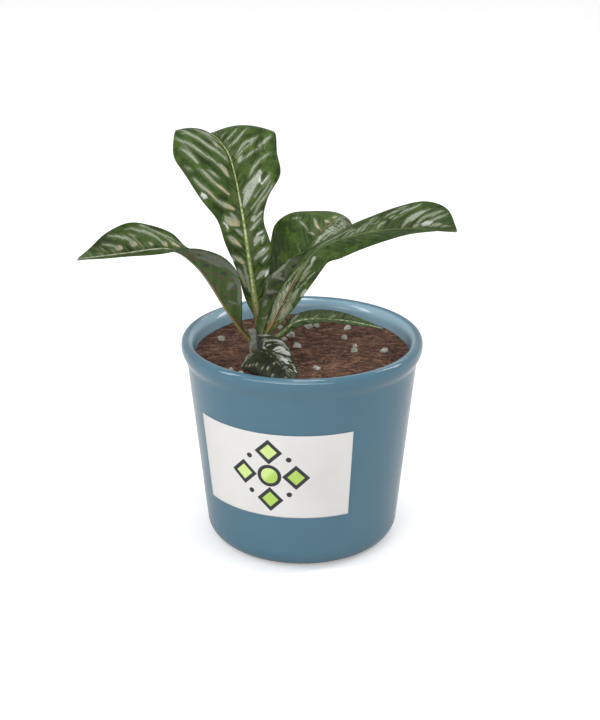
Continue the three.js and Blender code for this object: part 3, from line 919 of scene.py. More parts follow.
@dataclass(frozen=True)
class UpperFinish:
    """The upper face of a leaf: greens in bands, with cream, silver and white strokes."""

    name: str = "leaf_upper"
    dark: Colour = srgb(38, 55, 16)
    green: Colour = srgb(55, 78, 27)
    light: Colour = srgb(74, 97, 39)
    brown: Colour = srgb(112, 84, 52)
    # Grey for the grey patches, partly the leaf's own grey and partly painted sheen.
    bloom_and_sheen: Colour = srgb(122, 128, 100)
    # Colour of the dark patches: the leaf's own dark bands, and painted shade where a half lies in shade.
    dark_patch_and_shade: Colour = srgb(40, 58, 20)
    halo: Colour = srgb(108, 120, 86)
    cream: Colour = srgb(196, 180, 140)
    silver: Colour = srgb(150, 158, 140)
    white: Colour = srgb(214, 220, 214)
    rib: RibFinish = RibFinish()
    vein_spacing: float = 5.2
    seed: float = 0.0
    feather: float = 2.6
    band_cut: Cut = Cut(0.4, 0.52)
    thread_cut: Cut = Cut(0.46, 0.34, 0.5)
    cloud: Grain = Grain(120.0, 4, 0.65)
    cloud_cut: Cut = Cut(0.49, 0.58, 0.9)
    grain: Grain = Grain(620.0, 3, 0.6)
    light_grain: Cut = Cut(0.56, 0.66, 0.35)
    dark_grain: Cut = Cut(0.44, 0.34, 0.45)
    patch_share: float = 0.85
    wild_start: float = 0.66
    wild_fade: float = 0.07
    wild_share: float = 0.45
    wild_edge: Cut = Cut(0.98, 0.72)
    wild_silver: Cut = Cut(0.1, 0.4)
    halo_share: float = 0.35
    halo_rib: Cut = Cut(8.0, 2.0)
    halo_threads: Cut = Cut(0.4, 0.54)
    wear_grain: Cut = Cut(0.3, 0.52, 1.0, 0.55)
    wear_cloud: Cut = Cut(0.3, 0.6, 1.0, 0.75)
    wear_rib: Cut = Cut(0.5, 3.5, 1.0, 0.6)
    roughness: float = 0.39
    roughness_spread: float = 0.12
    quilt_depth: float = 0.00014
    pores: Grain = Grain(1400.0)
    pore_depth: float = 0.00005
    gloss: float = 0.15

    def build(self, blade_tree: Tree) -> Material:
        """Makes the finish from the blade's own maps.

        Args:
            blade_tree: The shared group that reads those maps.

        Returns:
            The material.
        """
        material, w, shader = new_material(self.name)
        values = {"Spacing": self.vein_spacing, "Seed": self.seed, "Feather": self.feather}
        blade = w.group(blade_tree, values)
        cloud, grain = w.noise(self.cloud), w.noise(self.grain)
        body = w.mix(w.ramp(blade["Bands"], self.band_cut), self.dark, self.green)
        body = w.mix(w.ramp(cloud, self.cloud_cut), body, self.light)
        body = w.mix(w.ramp(blade["Threads"], self.thread_cut), body, self.dark)
        body = w.mix(w.ramp(grain, self.light_grain), body, self.light)
        body = w.mix(w.ramp(grain, self.dark_grain), body, self.dark)
        shade = w.three_way(blade["Patch tint"], self.brown, self.bloom_and_sheen, self.dark_patch_and_shade)
        body = w.mix(w.math("MULTIPLY", blade["Patch"], self.patch_share), body, shade)
        body = self.lay_wild(w, blade, body)
        threads = w.ramp(blade["Threads"], self.halo_threads)
        near = w.math("MULTIPLY", w.ramp(blade["Off rib"], self.halo_rib), threads)
        around = w.math("MAXIMUM", blade["Halo"], near)
        body = w.mix(w.math("MULTIPLY", around, self.halo_share), body, self.halo)
        strokes = w.three_way(blade["Pale tint"], self.cream, self.silver, self.white)
        worn = w.math("MULTIPLY", w.ramp(grain, self.wear_grain), w.ramp(cloud, self.wear_cloud))
        worn = w.math("MULTIPLY", worn, w.ramp(blade["Off rib"], self.wear_rib))
        colour = w.mix(w.math("MULTIPLY", blade["Pale"], worn), body, strokes)
        quilt = w.bump(blade["Relief"], self.quilt_depth)
        w.plug(shader, {
            "Base Color": self.rib.lay(w, blade, self.seed, colour),
            "Roughness": w.math("MULTIPLY_ADD", cloud, self.roughness_spread, self.roughness),
            "Normal": w.bump(w.noise(self.pores), self.pore_depth, quilt),
            "Specular IOR Level": self.gloss,
        })
        return material

    def lay_wild(self, w: Wiring, blade: Outputs, body: Socket) -> Socket:
        """Lays fine chance streaks over a colour, cream near the midrib and silver further out.

        Args:
            w: The material's wiring.
            blade: The outputs of the blade's group.
            body: The colour below.

        Returns:
            The colour with its streaks.
        """
        wild = w.ramp(blade["Threads"], Cut(self.wild_start, self.wild_start + self.wild_fade))
        edge = w.ramp(blade["Reach"], self.wild_edge)
        share = w.math("MULTIPLY", w.math("MULTIPLY", wild, edge), self.wild_share)
        return w.mix(share, body, w.mix(w.ramp(blade["Reach"], self.wild_silver), self.cream, self.silver))


@dataclass(frozen=True)
class UndersideFinish:
    """The underside of a leaf: duller, with grey patches that are partly its own grey and partly painted
    sheen, dark blotches and brown specks.
    """

    name: str = "leaf_underside"
    green: Colour = srgb(70, 88, 44)
    deep: Colour = srgb(56, 74, 34)
    grey: Colour = srgb(84, 90, 76)
    # Grey for the grey patches, partly the leaf's own grey and partly painted sheen.
    bloom_and_sheen: Colour = srgb(92, 98, 86)
    brown: Colour = srgb(88, 66, 52)
    # Colour of the dark patches: the leaf's own dark blotches, and painted shade where a half lies in
    # shade.
    dark_patch_and_shade: Colour = srgb(46, 54, 40)
    keel: Colour = srgb(140, 124, 66)
    keel_high: Colour = srgb(150, 156, 140)
    vein_spacing: float = 5.2
    seed: float = 0.0
    feather: float = 1.0
    band_cut: Cut = Cut(0.4, 0.55)
    cloud: Grain = Grain(120.0, 4, 0.6, 0.3)
    grey_low: float = 0.56
    grey_fade: float = 0.02
    specks: Grain = Grain(420.0)
    speck_cut: Cut = Cut(0.52, 0.6)
    speck_border: Cut = Cut(0.03, 0.012)
    patch_share: float = 0.92
    brown_foot: float = 0.0
    foot: Place = (0.15, 0.04)
    keel_cut: Cut = Cut(0.6, 0.3, 0.75)
    keel_change: Cut = Cut(0.25, 0.33)
    roughness: float = 0.45
    roughness_spread: float = 0.2
    quilt_depth: float = -0.0001
    gloss: float = 0.3

    def build(self, blade_tree: Tree) -> Material:
        """Makes the finish from the blade's own maps.

        Args:
            blade_tree: The shared group that reads those maps.

        Returns:
            The material.
        """
        material, w, shader = new_material(self.name)
        values = {"Spacing": self.vein_spacing, "Seed": self.seed, "Feather": self.feather}
        blade = w.group(blade_tree, values)
        cloud = w.noise(self.cloud)
        body = w.mix(w.ramp(blade["Bands"], self.band_cut), self.deep, self.green)
        body = w.mix(w.ramp(cloud, Cut(self.grey_low, self.grey_low + self.grey_fade)), body, self.grey)
        border = w.math("ABSOLUTE", w.math("SUBTRACT", cloud, self.grey_low))
        specks = w.ramp(w.noise(self.specks), self.speck_cut)
        body = w.mix(w.math("MULTIPLY", w.ramp(border, self.speck_border), specks), body, self.brown)
        shade = w.three_way(blade["Patch tint"], self.brown, self.bloom_and_sheen, self.dark_patch_and_shade)
        body = w.mix(w.math("MULTIPLY", blade["Patch"], self.patch_share), body, shade)
        body = w.mix(w.ramp(blade["Along"], Cut(*self.foot, self.brown_foot)), body, self.brown)
        keel = w.mix(w.ramp(blade["Along"], self.keel_change), self.keel, self.keel_high)
        w.plug(shader, {
            "Base Color": w.mix(w.ramp(blade["Off rib"], self.keel_cut), body, keel),
            "Roughness": w.math("MULTIPLY_ADD", cloud, self.roughness_spread, self.roughness),
            "Normal": w.bump(blade["Relief"], self.quilt_depth),
            "Specular IOR Level": self.gloss,
        })
        return material


# ------------------------------ pot, label, soil and cane
@dataclass
class Pot:
    """The glazed pot: rolled rim, small step below it, tapering wall and rounded foot."""

    body_low: Place = (61.0, 13.0)
    body_high: Place = (71.9, 117.5)
    foot_radius: float = 48.0
    foot_rounding: float = 13.0
    ring_inside: float = 43.0
    ring_depth: float = 1.1
    inner_low: Place = (56.6, 15.0)
    inner_high: Place = (66.9, 124.0)
    floor_top: float = 5.0
    inner_rounding: float = 10.0
    # The outline of the foot ring's inner edge: radius past its inside, and height.
    ring_edge: Sequence[Place] = ((-2.0, 1.1), (-0.6, 0.935), (0.0, 0.35), (0.4, 0.0))
    # The rim's outline from the wall over the roll: radius and height.
    rim: Sequence[Place] = (
        (71.9, 117.5), (72.2, 119.3), (72.9, 121.2), (74.2, 123.6), (75.2, 126.3), (75.5, 129.2),
        (75.2, 131.3), (74.4, 132.8), (73.0, 133.6), (71.4, 133.4), (69.9, 132.5), (68.4, 130.8),
        (67.4, 128.3), (66.9, 124.0),
    )
    segments: int = 224
    corner_steps: int = 16
    wall_steps: int = 25
    rim_steps: int = 4

    def corner(self, radius: float, height: float, rounding: float) -> list[Place]:
        """Draws a rounded corner from below to beside its centre."""
        steps = np.linspace(0, math.pi / 2, self.corner_steps + 1)
        return [(radius + rounding * math.sin(a), height - rounding * math.cos(a)) for a in steps]

    def outer_radius(self, height: float) -> float:
        """Gives the wall's outer radius at a height between the foot and the rim."""
        return cone_radius(self.body_low, self.body_high, height)

    def profile(self) -> list[Place]:
        """Draws the whole outline, with the bare ring that the pot stands on.

        Returns:
            The outline from the underside's middle, up the outside and back down inside.
        """
        recess = [(self.ring_inside + past, height) for past, height in self.ring_edge]
        outside = self.corner(self.foot_radius, self.foot_rounding, self.foot_rounding)
        heights = np.linspace(self.body_low[1], self.body_high[1], self.wall_steps + 1)[1:-1]
        wall = [(self.outer_radius(height), float(height)) for height in heights]
        inner = self.corner(
            self.inner_low[0] - self.inner_rounding,
            self.floor_top + self.inner_rounding,
            self.inner_rounding,
        )
        return [
            (0.0, self.ring_depth), *recess, *outside, *wall, *soft_profile(self.rim, self.rim_steps),
            *inner[::-1], (0.0, self.floor_top),
        ]

    def build(self, glaze: Material) -> None:
        """Makes the pot and settles it on its solid."""
        points, faces = revolve(self.profile(), self.segments)
        settle(make_piece("glazed_pot", points, faces, [glaze]), "glazed_clay", "pot")


@dataclass
class Label:
    """The paper label, wrapped round the front of the pot."""

    pot: Pot
    low: float = 38.3
    high: float = 95.7
    start: float = -60.7
    end: float = 26.1
    gap: float = 0.15
    thickness: float = 0.3
    columns: int = 140
    rows: int = 60

    def width(self) -> float:
        """Gives the label's width along the wall at its middle height."""
        radius = self.pot.outer_radius((self.low + self.high) / 2)
        return math.radians(self.end - self.start) * radius

    def build(self, finish: PaperFinish) -> None:
        """Makes the label with its print and settles it on its solid.

        Args:
            finish: The paper and its print.
        """
        points: list[Point] = []
        sheet: list[Place] = []
        for depth in (self.gap + self.thickness, self.gap):
            for row in range(self.rows + 1):
                height = self.low + (self.high - self.low) * row / self.rows
                for column in range(self.columns + 1):
                    share = column / self.columns
                    angle = math.radians(self.start + (self.end - self.start) * share)
                    radius = self.pot.outer_radius(height) + depth
                    points.append((radius * math.sin(angle), -radius * math.cos(angle), height))
                    sheet.append((share * self.width(), height - self.low))
        faces = shell_faces(self.rows, self.columns)
        material = finish.build((self.width() / 2, (self.high - self.low) / 2))
        piece = make_piece(
            "paper_label", np.array(points), faces, [material], maps={"sheet": np.array(sheet)}
        )
        settle(piece, "paper", "label")


def shell_faces(rows: int, columns: int) -> Faces:
    """Gives the faces of a thin shell of two grids of points, with closed edges.

    Args:
        rows: How many faces each grid has one way.
        columns: How many it has the other way.

    Returns:
        The faces of both grids in turn, the front one first, and then those of the edges.
    """
    wide = columns + 1
    back = wide * (rows + 1)
    faces: Faces = []
    for row in range(rows):
        for column in range(columns):
            a = row * wide + column
            quad = (a, a + 1, a + 1 + wide, a + wide)
            faces.append(quad)
            faces.append(tuple(back + corner for corner in reversed(quad)))
    for column in range(columns):
        top = rows * wide + column
        faces.append((column + 1, column, back + column, back + column + 1))
        faces.append((top, top + 1, back + top + 1, back + top))
    for row in range(rows):
        left, right = row * wide, row * wide + columns
        faces.append((left, left + wide, back + left + wide, back + left))
        faces.append((right + wide, right, back + right, back + right + wide))
    return faces


@dataclass
class Soil:
    """The potting soil: an uneven surface, loose crumbs and bark threads, and perlite grains."""

    pot: Pot
    top: float = 124.1
    edge_drop: float = 0.9
    roll: float = 0.3
    roll_pitch: Place = (0.11, 0.13)
    roll_shift: Place = (0.6, -0.4)
    clods: float = 0.55
    clod_pitch: float = 0.32
    grit_share: float = 0.35
    grit_pitch: float = 1.3
    clearance: float = 0.3
    shoulder: Place = (0.4, 6)
    foot_taper: float = 9
    foot_gap: float = 1
    rings: int = 84
    segments: int = 260
    seed: int = 21
    crumbs: int = 900
    crumb_spread: Place = (0.25, 0.4)
    crumb_sizes: Place = (0.7, 3.2)
    crumb_lengths: Place = (1, 1.7)
    crumb_heights: Place = (0.5, 0.8)
    crumb_margin: float = 1.2
    crumb_rise: float = 0.05
    crumb_roughness: float = 0.28
    threads: int = 420
    thread_lengths: Place = (2.5, 7.5)
    thread_widths: Place = (0.5, 1.1)
    thread_heights: Place = (0.35, 0.6)
    thread_margin: float = 1.5
    thread_rise: float = 0.12
    thread_roughness: float = 0.2
    thread_tones: Place = (0.2, 1)
    perlite_roughness: float = 0.22
    perlite_flatness: float = 0.42
    perlite_rise: float = 0.5
    # Each grain of perlite: place, length and width.
    perlite: Sequence[tuple[float, float, float, float]] = (
        (-14.6, 37.2, 4.0, 4.0), (-7.3, 23.8, 5.2, 6.0), (-11.2, 15.6, 4.4, 3.6),
        (-2.9, 3.3, 6.2, 5.4), (4.5, 39.4, 5.4, 4.0), (9.3, 41.0, 4.6, 3.8),
        (29.4, 37.0, 4.8, 4.6), (27.2, 19.8, 4.0, 4.4), (33.4, 5.4, 2.8, 3.0),
        (32.6, -2.8, 4.6, 4.6), (51.2, -3.2, 4.0, 5.0), (9.1, -32.8, 4.4, 3.6),
        (-43.1, -34.9, 3.8, 3.2), (-36.8, -40.4, 4.6, 3.4), (-51.5, 18.7, 4.2, 4.6),
        (14.0, -57.0, 4.0, 3.6), (-8.0, -55.0, 3.8, 4.2), (3.0, -58.0, 3.4, 3.2),
        (-19.0, -54.0, 4.0, 3.4), (21.0, -54.0, 3.6, 4.0),
    )
    # Where no crumb lies, round the cane: place and radius.
    plain_zones: Sequence[Point] = ((-27.0, -17.0, 6.0),)

    def height(self, x: float, y: float, rough: bool = True) -> float:
        """Gives the height of the soil's surface at a place.

        Args:
            x: Across.
            y: Back.
            rough: Whether the clods and the grit count.

        Returns:
            The height.
        """
        radius = math.hypot(x, y) / self.pot.inner_high[0]
        (pitch_x, pitch_y), (shift_x, shift_y) = self.roll_pitch, self.roll_shift
        roll = math.sin(x * pitch_x + shift_x) * math.cos(y * pitch_y + shift_y)
        height = self.top - self.edge_drop * radius**2 + self.roll * roll
        if rough:
            place = Vector((x, y, 0.0))
            height += self.clods * noise.fractal(place * self.clod_pitch, 0.9, 2.0, 4)
            height += self.grit_share * self.clods * noise.noise(place * self.grit_pitch)
        return height

    def build(self, ground: Material, crumb: Material) -> None:
        """Makes the soil's body and its loose crumbs.

        Args:
            ground: The finish of the body.
            crumb: The finish of the crumbs.
        """
        rim = cone_radius(self.pot.inner_low, self.pot.inner_high, self.top) - self.clearance
        low = self.pot.floor_top + self.pot.inner_rounding
        low_radius = cone_radius(self.pot.inner_low, self.pot.inner_high, low) - self.clearance
        base = self.pot.floor_top + self.foot_gap
        levels = [(rim * ring / self.rings, None) for ring in range(1, self.rings + 1)]
        levels += [(rim - self.shoulder[0], self.top - self.shoulder[1]), (low_radius, low)]
        levels.append((low_radius - self.foot_taper, base))
        points: list[Point] = [(0, 0, self.height(0, 0))]
        rings: list[list[int]] = [[0] * self.segments]
        for radius, level in levels:
            first = len(points)
            for step in range(self.segments):
                angle = FULL_TURN * step / self.segments
                x, y = radius * math.cos(angle), radius * math.sin(angle)
                points.append((x, y, self.height(x, y) if level is None else level))
            rings.append(list(range(first, first + self.segments)))
        points.append((0, 0, base))
        rings.append([len(points) - 1] * self.segments)
        # These rings run from the top down, so each face is turned over to look out.
        faces = [(face[0], *face[:0:-1]) for face in ring_faces(rings)]
        body = make_piece("soil_body", np.array(points), faces, [ground])
        settle(body, "potting_soil", "soil")
        settle(self.crumb_heap().piece("soil_crumbs", crumb), "potting_soil")

    def free_place(self, random: np.random.Generator, margin: float) -> Place:
        """Draws a place on the surface that keeps off the cane and the wall.

        Args:
            random: The draw.
            margin: How far it keeps off the wall.

        Returns:
            The place.
        """
        while True:
            radius = (self.pot.inner_high[0] - margin) * math.sqrt(random.uniform(0, 1))
            angle = random.uniform(0, FULL_TURN)
            x, y = radius * math.cos(angle), radius * math.sin(angle)
            if all(math.hypot(x - cx, y - cy) > r for cx, cy, r in self.plain_zones):
                return x, y

    def crumb_heap(self) -> Heap:
        """Scatters crumbs and flat bark threads over the surface.

        Returns:
            The crumbs and the threads.
        """
        random = np.random.default_rng(self.seed)
        heap = Heap()
        for _ in range(self.crumbs):
            size = float(np.clip(random.lognormal(*self.crumb_spread), *self.crumb_sizes))
            x, y = self.free_place(random, self.crumb_margin + size / 2)
            length = size * random.uniform(*self.crumb_lengths)
            shape = (length, size, size * random.uniform(*self.crumb_heights))
            points, faces = pebble(random, shape, self.crumb_roughness, 1)
            place = (x, y, self.height(x, y) + self.crumb_rise * size)
            heap.add(points + place, faces, random.uniform(0, 1))
        for _ in range(self.threads):
            length = random.uniform(*self.thread_lengths)
            x, y = self.free_place(random, self.thread_margin + length / 2)
            width = random.uniform(*self.thread_widths)
            shape = (length, width, random.uniform(*self.thread_heights))
            points, faces = pebble(random, shape, self.thread_roughness, 1)
            place = (x, y, self.height(x, y) + self.thread_rise)
            heap.add(points + place, faces, random.uniform(*self.thread_tones))
        return heap

    def build_perlite(self, finish: Material) -> None:
        """Makes the perlite grains that lie half sunk in the soil.

        Args:
            finish: The grains' finish.
        """
        random = np.random.default_rng(self.seed + 1)
        heap = Heap()
        for x, y, length, width in self.perlite:
            shape = (length, width, (length + width) * self.perlite_flatness)
            points, faces = pebble(random, shape, self.perlite_roughness, 2)
            place = (x, y, self.height(x, y, False) + self.perlite_rise)
            heap.add(points + place, faces, random.uniform(0, 1))
        settle(heap.piece("perlite_grains", finish), "potting_soil")


@dataclass
class Cane:
    """The short cane that stands in the soil, cut off at its head, with its sheathed crown."""

    foot: Point = (-28.0, -16.6, 110.0)
    head: Point = (-30.6, -18.0, 144.2)
    foot_radius: float = 3.7
    head_radius: float = 2.6
    head_dip: float = 0.5
    head_rounding: float = 0.14
    rounded_rows: int = 3
    ring_heights: Sequence[float] = (127.5, 132.0, 136.0, 140.0)
    ring_swell: float = 0.16
    ring_width: float = 0.5
    flutes: int = 5
    flute_depth: float = 0.025
    flute_twist: float = 0.04
    crown: Point = (-25.0, -15.8, 135.5)
    crown_radii: Point = (4.6, 4.0, 5.6)
    crown_swell: float = 0.06
    crown_pitch: float = 2.2
    tone: float = 0.5
    sides: int = 40
    rows: int = 90

    def radius(self, share: float, height: float) -> float:
        """Gives the cane's radius with its leaf rings, rounded off at its head.

        Args:
            share: The way up the cane, from 0 to 1.
            height: The height there.

        Returns:
            The radius, before the flutes.
        """
        radius = self.foot_radius + (self.head_radius - self.foot_radius) * share
        for level in self.ring_heights:
            radius += self.ring_swell * math.exp(-(((height - level) / self.ring_width) ** 2))
        rounding = min(1.0, (1 - share) * self.rows / self.rounded_rows)
        return radius * (1 - self.head_rounding + self.head_rounding * math.sqrt(rounding))

    def build(self, finish: Material) -> None:
        """Makes the cane and its crown and settles them on their solid.

        Args:
            finish: The cane's finish.
        """
        foot, head = np.array(self.foot), np.array(self.head)
        points: list[np.ndarray] = []
        rings: list[list[int]] = []
        for row in range(self.rows + 1):
            share = row / self.rows
            centre = foot + (head - foot) * share
            radius = self.radius(share, centre[2])
            rings.append(list(range(len(points), len(points) + self.sides)))
            for side in range(self.sides):
                angle = FULL_TURN * side / self.sides
                wave = math.sin(self.flutes * angle + self.flute_twist * centre[2])
                out = radius * (1 + self.flute_depth * wave)
                points.append(centre + (out * math.cos(angle), out * math.sin(angle), 0))
        tip, base = len(points), len(points) + 1
        points += [head - (0, 0, self.head_dip), foot]
        faces = ring_faces(rings)
        foot_ring, head_ring = rings[0], rings[-1]
        for side in range(self.sides):
            after = (side + 1) % self.sides
            faces.append((head_ring[side], head_ring[after], tip))
            faces.append((foot_ring[after], foot_ring[side], base))
        heap = Heap()
        heap.add(np.array(points), faces, self.tone)
        crown, crown_faces = ball(3)
        uneven = [1 + self.crown_swell * noise.noise(Vector(p) * self.crown_pitch) for p in crown]
        swollen = crown * np.array(uneven)[:, None] * self.crown_radii
        heap.add(swollen + self.crown, crown_faces, self.tone)
        settle(heap.piece("cane_and_crown", finish), "cane", "stem")


# ------------------------------ leaves
class Side(Enum):
    """The two halves of a blade, seen from its foot with the upper face up."""

    LEFT = -1
    RIGHT = 1


class Shade(Enum):
    """The darker patches of a blade, by their tint: DULL lies between BLOOM and DARK."""

    BROWN = 0.0
    # Grey, partly the leaf's own and partly painted sheen on lit crests and folds.
    BLOOM = 0.5
    DULL = 0.68
    # Dark: the leaf's own dark bands, and painted shade on halves that lie in shade.
    DARK = 1.0


LEFT, RIGHT = Side
BROWN, BLOOM, DULL, DARK = Shade
SILVER_TINT = 0.5


@dataclass(frozen=True)
class Stroke:
    """One stroke of colour on a half of a blade.

    The path's points are (millimetres up the midrib, millimetres out from it). A pale stroke's
    tint goes from 0, cream, through 0.5, silver, to 1, white, and a patch's is its shade's value.
    The tint changes by drift from the path's start to its end.
    """

    side: Side
    width: float
    tint: float
    path: Sequence[Place]
    drift: float = 0.0


def strokes(side: Side, *rows: tuple[float | Shade, ...]) -> list[Stroke]:
    """Makes the strokes on one half of a blade.

    Args:
        side: The half.
        rows: Each stroke's width, its tint or shade, and the points of its path in turn, every
            one as the way up the midrib and the way out from it.

    Returns:
        The strokes, where a tint below silver turns to silver on its way out.
    """
    made: list[Stroke] = []
    for width, tint, *ways in rows:
        path = list(zip(ways[::2], ways[1::2]))
        if isinstance(tint, Shade):
            made.append(Stroke(side, width, tint.value, path))
        else:
            made.append(Stroke(side, width, tint, path, max(0.0, SILVER_TINT - tint)))
    return made


@dataclass
class Leaf:
    """One leaf: a folded, rippled blade between a midrib and two margins that end at its tip."""

    name: str
    node: str
    midrib: Sequence[Point]
    left: Sequence[Point]
    right: Sequence[Point]
    left_camber: Sequence[float]
    right_camber: Sequence[float]
    wave_height: float
    wave_count: float
    upper: UpperFinish
    under: UndersideFinish
    streaks: Sequence[Stroke]
    patches: Sequence[Stroke]
    wave_start: float = 0
    right_wave_shift: float = 0.37
    rows: int = 250
    half_columns: int = 40
    crowding: float = 1.15
    slot: str = "leaf_green"
    edge_thickness: float = 0.42
    rib_thickness: float = 1.1
    petiole_thickness: float = 1.6
    petiole_fade: float = 4
    tip_cut: float = 0.996
    vein_lean: float = 0.85
    vein_bend: float = 0.012
    quilt_height: float = 0.07
    quilt_level: float = 0.6
    quilt_margin: Place = (1.0, 0.8)
    quilt_rib: Place = (0.02, 0.12)
    groove_depth: float = 0.35
    groove_width: float = 1.0
    groove_start: float = 0.12
    stroke_taper: float = 0.75
    taper_span: float = 1.8
    taper_shift: float = 0.85
    taper_power: float = 1.5

    def sides(self) -> np.ndarray:
        """Gives the columns from -1 at the left margin through 0 to 1 at the right margin."""
        half = np.linspace(0, 1, self.half_columns + 1) ** self.crowding
        return np.concatenate([-half[::-1], half[1:]])

    def surface(self, shares: np.ndarray, sides: np.ndarray) -> tuple[np.ndarray, np.ndarray]:
        """Gives the blade's middle surface, before relief and thickness.

        Args:
            shares: Rows, from 0 at the foot to 1 at the tip.
            sides: Columns, from -1 to 1.

        Returns:
            The points, by row and column, and each one's distance from the midrib.
        """
        rib = curve(self.midrib, shares)
        step = 1e-3
        ahead = curve(self.midrib, np.minimum(shares + step, 1))
        along = unit(ahead - curve(self.midrib, np.maximum(shares - step, 0)))
        points = np.empty((len(shares), len(sides), 3))
        distance = np.empty((len(shares), len(sides)))
        for side, margin, cambers in (
            (-1, self.left, self.left_camber), (1, self.right, self.right_camber),
        ):
            across = curve([*margin, self.midrib[-1]], shares) - rib
            up = unit(np.cross(across, along)) * side
            camber = curve(cambers, shares)[:, 0]
            start = self.wave_start + (self.right_wave_shift if side > 0 else 0)
            ripple = np.sin(FULL_TURN * (self.wave_count * shares + start)) * np.sin(math.pi * shares)
            for column, value in enumerate(sides):
                if value * side < 0:
                    continue
                reach = abs(value)
                lift = 4 * camber * reach * (1 - reach) + self.wave_height * reach**2 * ripple
                points[:, column] = rib + across * reach + up * lift[:, None]
                distance[:, column] = np.linalg.norm(across, axis=1) * reach
        return points, distance

    def paint(
        self, strokes: Sequence[Stroke], points: np.ndarray, sides: np.ndarray, length: np.ndarray
    ) -> np.ndarray:
        """Works out how deep in the strokes each point lies, and the nearest one's tint.

        Args:
            strokes: The strokes on this blade.
            points: The blade's points, by row and column.
            sides: The columns.
            length: Each row's distance up the midrib.

        Returns:
            For each point, the depth, above 0 inside a stroke, as a share of PAINT_REACH, and the
            tint.
        """
        painted = np.full((*points.shape[:2], 2), (-1.0, 0.5))
        shares = np.linspace(0, self.tip_cut, len(length))
        for stroke in strokes:
            steps = np.linspace(0, 1, 4 * len(stroke.path) - 1)
            places = curve(stroke.path, steps)
            line = np.array([self.spot(stroke.side, up, out, length, shares) for up, out in places])
            taper = np.abs(self.taper_span * steps - self.taper_shift) ** self.taper_power
            half_widths = stroke.width / 2 * (1 - self.stroke_taper * taper)
            columns = np.where(sides * stroke.side.value >= 0)[0]
            part = points[:, columns]
            here = painted[:, columns]
            for k in range(len(line) - 1):
                way = line[k + 1] - line[k]
                t = np.clip((part - line[k]) @ way / max(way @ way, 1e-9), 0, 1)
                away = np.linalg.norm(part - (line[k] + t[..., None] * way), axis=-1)
                half = half_widths[k] + (half_widths[k + 1] - half_widths[k]) * t
                depth = np.clip((half - away) / PAINT_REACH, -1, 1)
                tint = stroke.tint + stroke.drift * (steps[k] + (steps[k + 1] - steps[k]) * t)
                better = depth > here[..., 0]
                here[better] = np.stack([depth, tint], -1)[better]
            painted[:, columns] = here
        return painted

    def spot(
        self, side: Side, up: float, out: float, length: np.ndarray, shares: np.ndarray
    ) -> np.ndarray:
        """Gives the point that lies some way up the midrib and out from it.

        Args:
            side: The blade's half.
            up: Millimetres up the midrib.
            out: Millimetres out from it.
            length: Each row's distance up the midrib.
            shares: Each row's share.

        Returns:
            The point.
        """
        share = np.array([np.interp(up, length, shares)])
        _, full = self.surface(share, np.array([float(side.value)]))
        reach = min(out / max(float(full[0, 0]), 0.1), 1.0)
        return self.surface(share, np.array([side.value * reach]))[0][0, 0]

    def thickness(self, shares: np.ndarray, sides: np.ndarray) -> np.ndarray:
        """Gives the blade's thickness, most at the foot of the midrib and least at the margins."""
        rib = self.rib_thickness + self.petiole_thickness * (1 - shares) ** self.petiole_fade
        return self.edge_thickness + (rib[:, None] - self.edge_thickness) * (1 - np.abs(sides))[None] ** 3

    def relief(
        self, shares: np.ndarray, sides: np.ndarray, vein: np.ndarray, distance: np.ndarray
    ) -> np.ndarray:
        """Gives the height of the quilting between the side veins and the groove of the midrib.

        Args:
            shares: The rows.
            sides: The columns.
            vein: Where along the midrib the vein through each point starts.
            distance: Each point's distance from the midrib.

        Returns:
            The height at each point.
        """
        reach = np.abs(sides)
        fade = smooth_step(*self.quilt_margin, reach)[None] * smooth_step(*self.quilt_rib, reach)[None]
        arch = np.abs(np.sin(math.pi * vein / self.upper.vein_spacing)) ** QUILT_POWER
        start = smooth_step(0, self.groove_start, shares)[:, None]
        groove = np.exp(-((distance / self.groove_width) ** 2)) * start
        return self.quilt_height * (arch - self.quilt_level) * fade - self.groove_depth * groove

    def build(self, blade_tree: Tree) -> None:
        """Makes the leaf and settles it on its solid.

        Args:
            blade_tree: The shared group that reads a blade's maps.
        """
        shares = np.linspace(0, self.tip_cut, self.rows + 1)
        sides = self.sides()
        middle, distance = self.surface(shares, sides)
        rib = curve(self.midrib, shares)
        length = np.concatenate([[0], np.cumsum(np.linalg.norm(np.diff(rib, axis=0), axis=1))])
        vein = length[:, None] - self.vein_lean * distance - self.vein_bend * distance**2
        along = unit(np.gradient(middle, axis=0))
        across = unit(np.gradient(middle, axis=1))
        up = unit(np.cross(across, along))
        top = middle + up * self.relief(shares, sides, vein, distance)[..., None]
        bottom = middle - up * self.thickness(shares, sides)[..., None]
        points = np.vstack([top.reshape(-1, 3), bottom.reshape(-1, 3)])
        columns = len(sides) - 1
        faces = shell_faces(self.rows, columns)
        face_slots = [0, 1] * (self.rows * columns)
        face_slots += [0] * (len(faces) - len(face_slots))
        share_grid, side_grid = np.meshgrid(shares, sides, indexing="ij")
        maps = {
            "vein": np.stack([vein, distance * np.sign(side_grid)], -1),
            "blade": np.stack([share_grid, 0.5 + 0.5 * side_grid], -1),
            "paint": self.paint(self.streaks, middle, sides, length),
            "shade": self.paint(self.patches, middle, sides, length),
        }
        maps = {name: np.vstack([values.reshape(-1, 2)] * 2) for name, values in maps.items()}
        materials = [self.upper.build(blade_tree), self.under.build(blade_tree)]
        piece = make_piece(self.name, points, faces, materials, face_slots, maps)
        settle(piece, self.slot, self.node)


